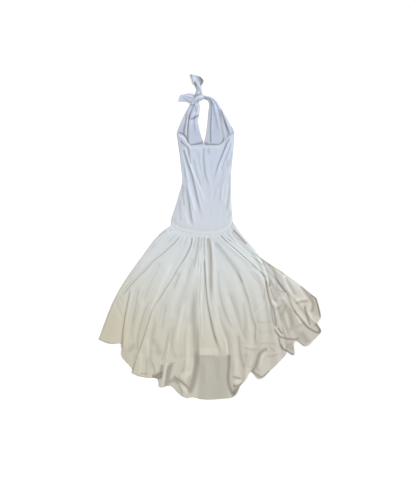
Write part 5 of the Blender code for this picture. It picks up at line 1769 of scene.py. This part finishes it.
def make_tie(name, table, start, flip, creases):
    """A free end, pleated where it leaves the knot and flat at its tip."""
    grid, shares, along_tie = tie_grid(table, start, *TIE_SIZE)
    pleats = 0.5 - 0.5 * np.cos(2 * math.pi * TIE_PLEATS * shares)[:, None]
    pleats = TIE_PLEAT_RISE * pleats * (1 - ease(along_tie * 1.15))
    grid[..., 2] = np.maximum(grid[..., 2], 0) + TIE_RESTING + pleats
    if flip:
        grid = grid[::-1].copy()
    closed = lay_creases(grid, creases)
    grid[..., 2] = np.maximum(grid[..., 2], TIE_LOWEST)
    return cloth_sheet(name, grid, right_side, TIE_CLOTH, EDGE_LAYERS, closed)


left_tie = make_tie("left_tie_cloth", LEFT_TIE, LEFT_TIE_START, True, LEFT_TIE_CREASES)
top_tie = make_tie("top_tie_cloth", TOP_TIE, TOP_TIE_START, False, TOP_TIE_CREASES)

# %% [markdown]
# ## Stitches
#
# A machine sews each hem and neckline with a row of even stitches a few millimetres in from
# the edge. On the real dress that row holds the turned edge down. Each row is worked out
# on its sheet, so it follows every crease. Geometry Nodes then walk along the rows and set
# one short thread on each step, turned a little at random, as stitches in a jersey are.
# The same small thread shape is used over a thousand times, so it has few faces.

# %% The lines of the stitches
THREAD = 0.5
NECKLINE_FOOT = 490
# a sheet, one of its edges and the distance in from it
STITCH_ROWS = [
    ("back_skirt_cloth", "foot", 9),
    ("front_skirt_cloth", "foot", 9),
    ("back_bodice_cloth", "head", 7),
    ("front_left_cloth", "last", 6),
    ("front_right_cloth", "first", 6),
]


def row_on(name, edge, inset):
    """Points on the upper face of a sheet, a distance in from one of its edges, and its normals."""
    middle, thickness = GRIDS[name]
    normals = sheet_normals(middle)
    face = middle + normals * (thickness / 2 + THREAD / 5)[..., None]
    if edge in ("first", "last"):
        face, normals = face.transpose(1, 0, 2), normals.transpose(1, 0, 2)
    if edge in ("foot", "last"):
        face, normals = face[:, ::-1], normals[:, ::-1]
    steps = np.linalg.norm(np.diff(face, axis=1), axis=2)
    done = np.concatenate([np.zeros((len(face), 1)), np.cumsum(steps, axis=1)], axis=1)
    points, ups = [], []
    for place, up, way in zip(face, normals, done):
        points.append([np.interp(inset, way, place[:, k]) for k in range(3)])
        ups.append([np.interp(inset, way, up[:, k]) for k in range(3)])
    return np.array(points) + (*CENTRED, 0), np.array(ups)


row_mesh = bpy.data.meshes.new("stitch_lines")
row_points, row_ups, row_edges = [], [], []
for sheet_name, edge, inset in STITCH_ROWS:
    points, ups = row_on(sheet_name, edge, inset)
    if "front_" in sheet_name and edge != "foot":
        shown = points[:, 1] > NECKLINE_FOOT
        points, ups = points[shown], ups[shown]
    first = len(row_points)
    row_points += (points * MM).tolist()
    row_ups += ups.tolist()
    row_edges += [(k, k + 1) for k in range(first, len(row_points) - 1)]
row_mesh.from_pydata(row_points, row_edges, [])
row_mesh.attributes.new("up", "FLOAT_VECTOR", "POINT").data.foreach_set("vector", np.ravel(row_ups))
print("lines for", len(STITCH_ROWS), "rows,", len(row_points), "points")

# %% The thread
THREAD_DARK, THREAD_LIGHT = (0.52, 0.51, 0.48), (0.64, 0.64, 0.62)
THREAD_TWIST = 700
thread = bpy.data.materials.new("sewing thread")
thread.use_nodes = True
tree = thread.node_tree
thread_shader = tree.nodes["Principled BSDF"]
thread_shader.inputs["Roughness"].default_value = 0.6
ply = node(tree, "ShaderNodeTexWave", bands_direction="DIAGONAL", wave_profile="SIN")
ply.inputs["Scale"].default_value = THREAD_TWIST
tree.links.new(node(tree, "ShaderNodeTexCoord").outputs["Object"], ply.inputs["Vector"])
thread_tone = mixed(tree, THREAD_DARK, THREAD_LIGHT, ply.outputs["Fac"])
tree.links.new(thread_tone, thread_shader.inputs["Base Color"])
print("finish:", thread.name)

# %% Stitches along the lines
STITCH_SIZES = {
    "Step": 3.4 * MM, "Length": 2.5 * MM, "Thickness": THREAD * MM, "Unevenness": 0.09, "Seed": 7,
}
SEGMENTS, RINGS = 6, 4
tree = bpy.data.node_groups.new("row of stitches", "GeometryNodeTree")
face_of = tree.interface
face_of.new_socket("Lines", in_out="INPUT", socket_type="NodeSocketGeometry")
for name, value in STITCH_SIZES.items():
    kind = "NodeSocketInt" if name == "Seed" else "NodeSocketFloat"
    face_of.new_socket(name, in_out="INPUT", socket_type=kind)
face_of.new_socket("Finish", in_out="INPUT", socket_type="NodeSocketMaterial")
face_of.new_socket("Stitches", in_out="OUTPUT", socket_type="NodeSocketGeometry")
given = tree.nodes.new("NodeGroupInput")
result = tree.nodes.new("NodeGroupOutput")
curve = node(tree, "GeometryNodeMeshToCurve")
walk = node(tree, "GeometryNodeResampleCurve", mode="LENGTH")
shape = node(tree, "GeometryNodeMeshUVSphere", Segments=SEGMENTS, Rings=RINGS, Radius=0.5)
tangent = node(tree, "GeometryNodeInputTangent")
lie_along = node(tree, "FunctionNodeAlignRotationToVector", axis="X")
upwards = node(tree, "GeometryNodeInputNamedAttribute", data_type="FLOAT_VECTOR", Name="up")
stand_up = node(tree, "FunctionNodeAlignRotationToVector", axis="Z", pivot_axis="X")
least = node(tree, "ShaderNodeMath", operation="MULTIPLY")
least.inputs[1].default_value = -1
chance = node(tree, "FunctionNodeRandomValue", data_type="FLOAT")
turn = node(tree, "ShaderNodeCombineXYZ")
turned = node(tree, "FunctionNodeRotateRotation", rotation_space="LOCAL")
as_rotation = node(tree, "FunctionNodeEulerToRotation")
size = node(tree, "ShaderNodeCombineXYZ")
place_each = node(tree, "GeometryNodeInstanceOnPoints")
realize = node(tree, "GeometryNodeRealizeInstances")
finish = node(tree, "GeometryNodeSetMaterial")
for source, output, target, entry in (
    (given, "Lines", curve, "Mesh"),
    (curve, "Curve", walk, "Curve"),
    (given, "Step", walk, "Length"),
    (tangent, 0, lie_along, "Vector"),
    (lie_along, 0, stand_up, "Rotation"),
    (upwards, 0, stand_up, "Vector"),
    (given, "Unevenness", least, 0),
    (least, 0, chance, 2),
    (given, "Unevenness", chance, 3),
    (given, "Seed", chance, "Seed"),
    (chance, 1, turn, "Z"),
    (turn, 0, as_rotation, 0),
    (stand_up, 0, turned, "Rotation"),
    (as_rotation, 0, turned, "Rotate By"),
    (given, "Length", size, "X"),
    (given, "Thickness", size, "Y"),
    (given, "Thickness", size, "Z"),
    (walk, "Curve", place_each, "Points"),
    (shape, "Mesh", place_each, "Instance"),
    (turned, 0, place_each, "Rotation"),
    (size, 0, place_each, "Scale"),
    (place_each, "Instances", realize, "Geometry"),
    (realize, "Geometry", finish, "Geometry"),
    (given, "Finish", finish, "Material"),
    (finish, "Geometry", result, "Stitches"),
):
    tree.links.new(source.outputs[output], target.inputs[entry])
lines_object = bpy.data.objects.new("stitch_lines", row_mesh)
bpy.context.scene.collection.objects.link(lines_object)
sewing = lines_object.modifiers.new("sewing", "NODES")
sewing.node_group = tree
for socket in tree.interface.items_tree:
    if socket.in_out == "INPUT" and socket.name in STITCH_SIZES:
        sewing[socket.identifier] = STITCH_SIZES[socket.name]
    elif socket.in_out == "INPUT" and socket.name == "Finish":
        sewing[socket.identifier] = thread
evaluated = lines_object.evaluated_get(bpy.context.evaluated_depsgraph_get())
stitch_mesh = bpy.data.meshes.new_from_object(evaluated)
bpy.data.objects.remove(lines_object)
stitch_mesh.name = "stitches"
stitches = bpy.data.objects.new("stitches", stitch_mesh)
bpy.context.scene.collection.objects.link(stitches)
print("stitches:", len(stitch_mesh.polygons) // (SEGMENTS * RINGS))

# %% [markdown]
# ## Riding on the frame
#
# Every piece of cloth rides on the dress's one body and stands for the solid under it.
# The table gives each sheet with the size it was cut to and its flat area. What lies on
# other cloth names the pieces that it rests on.

# %% Each sheet and its solid
# the sheet, its solid, its flat size in metres, its flat area and what it rests on
CUTS = [
    (back_skirt, "back_skirt", (1.25, 0.95), 0.80, ["front_skirt"]),
    (front_skirt, "front_skirt", (1.15, 0.75), 0.66, []),
    (back_bodice, "back_bodice", (0.36, 0.52), 0.15, ["front_left", "front_right"]),
    (left_half, "front_left", (0.24, 0.72), 0.10, []),
    (right_half, "front_right", (0.24, 0.72), 0.11, []),
    (flap, "neckline_turnback", (0.06, 0.07), 0.0031, ["front_left"]),
    (knot, "halter_knot", (0.08, 0.10), 0.0072, []),
    (left_tie, "left_tie_end", (0.07, 0.09), 0.0045, []),
    (top_tie, "top_tie_end", (0.07, 0.11), 0.0060, []),
]
for piece, solid, cut, area, below in CUTS:
    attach(piece, "root")
    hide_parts(solid)
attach(stitches, "root")
print(len(CUTS), "sheets and the stitches ride on the dress")

# %% [markdown]
# ## The size
#
# The cloth may stand a little proud of the solids, but it is the same dress. The box of the
# solids is printed here.

# %% The solids' box
print("solids", [[round(c, 4) for c in corner] for corner in cad_box])
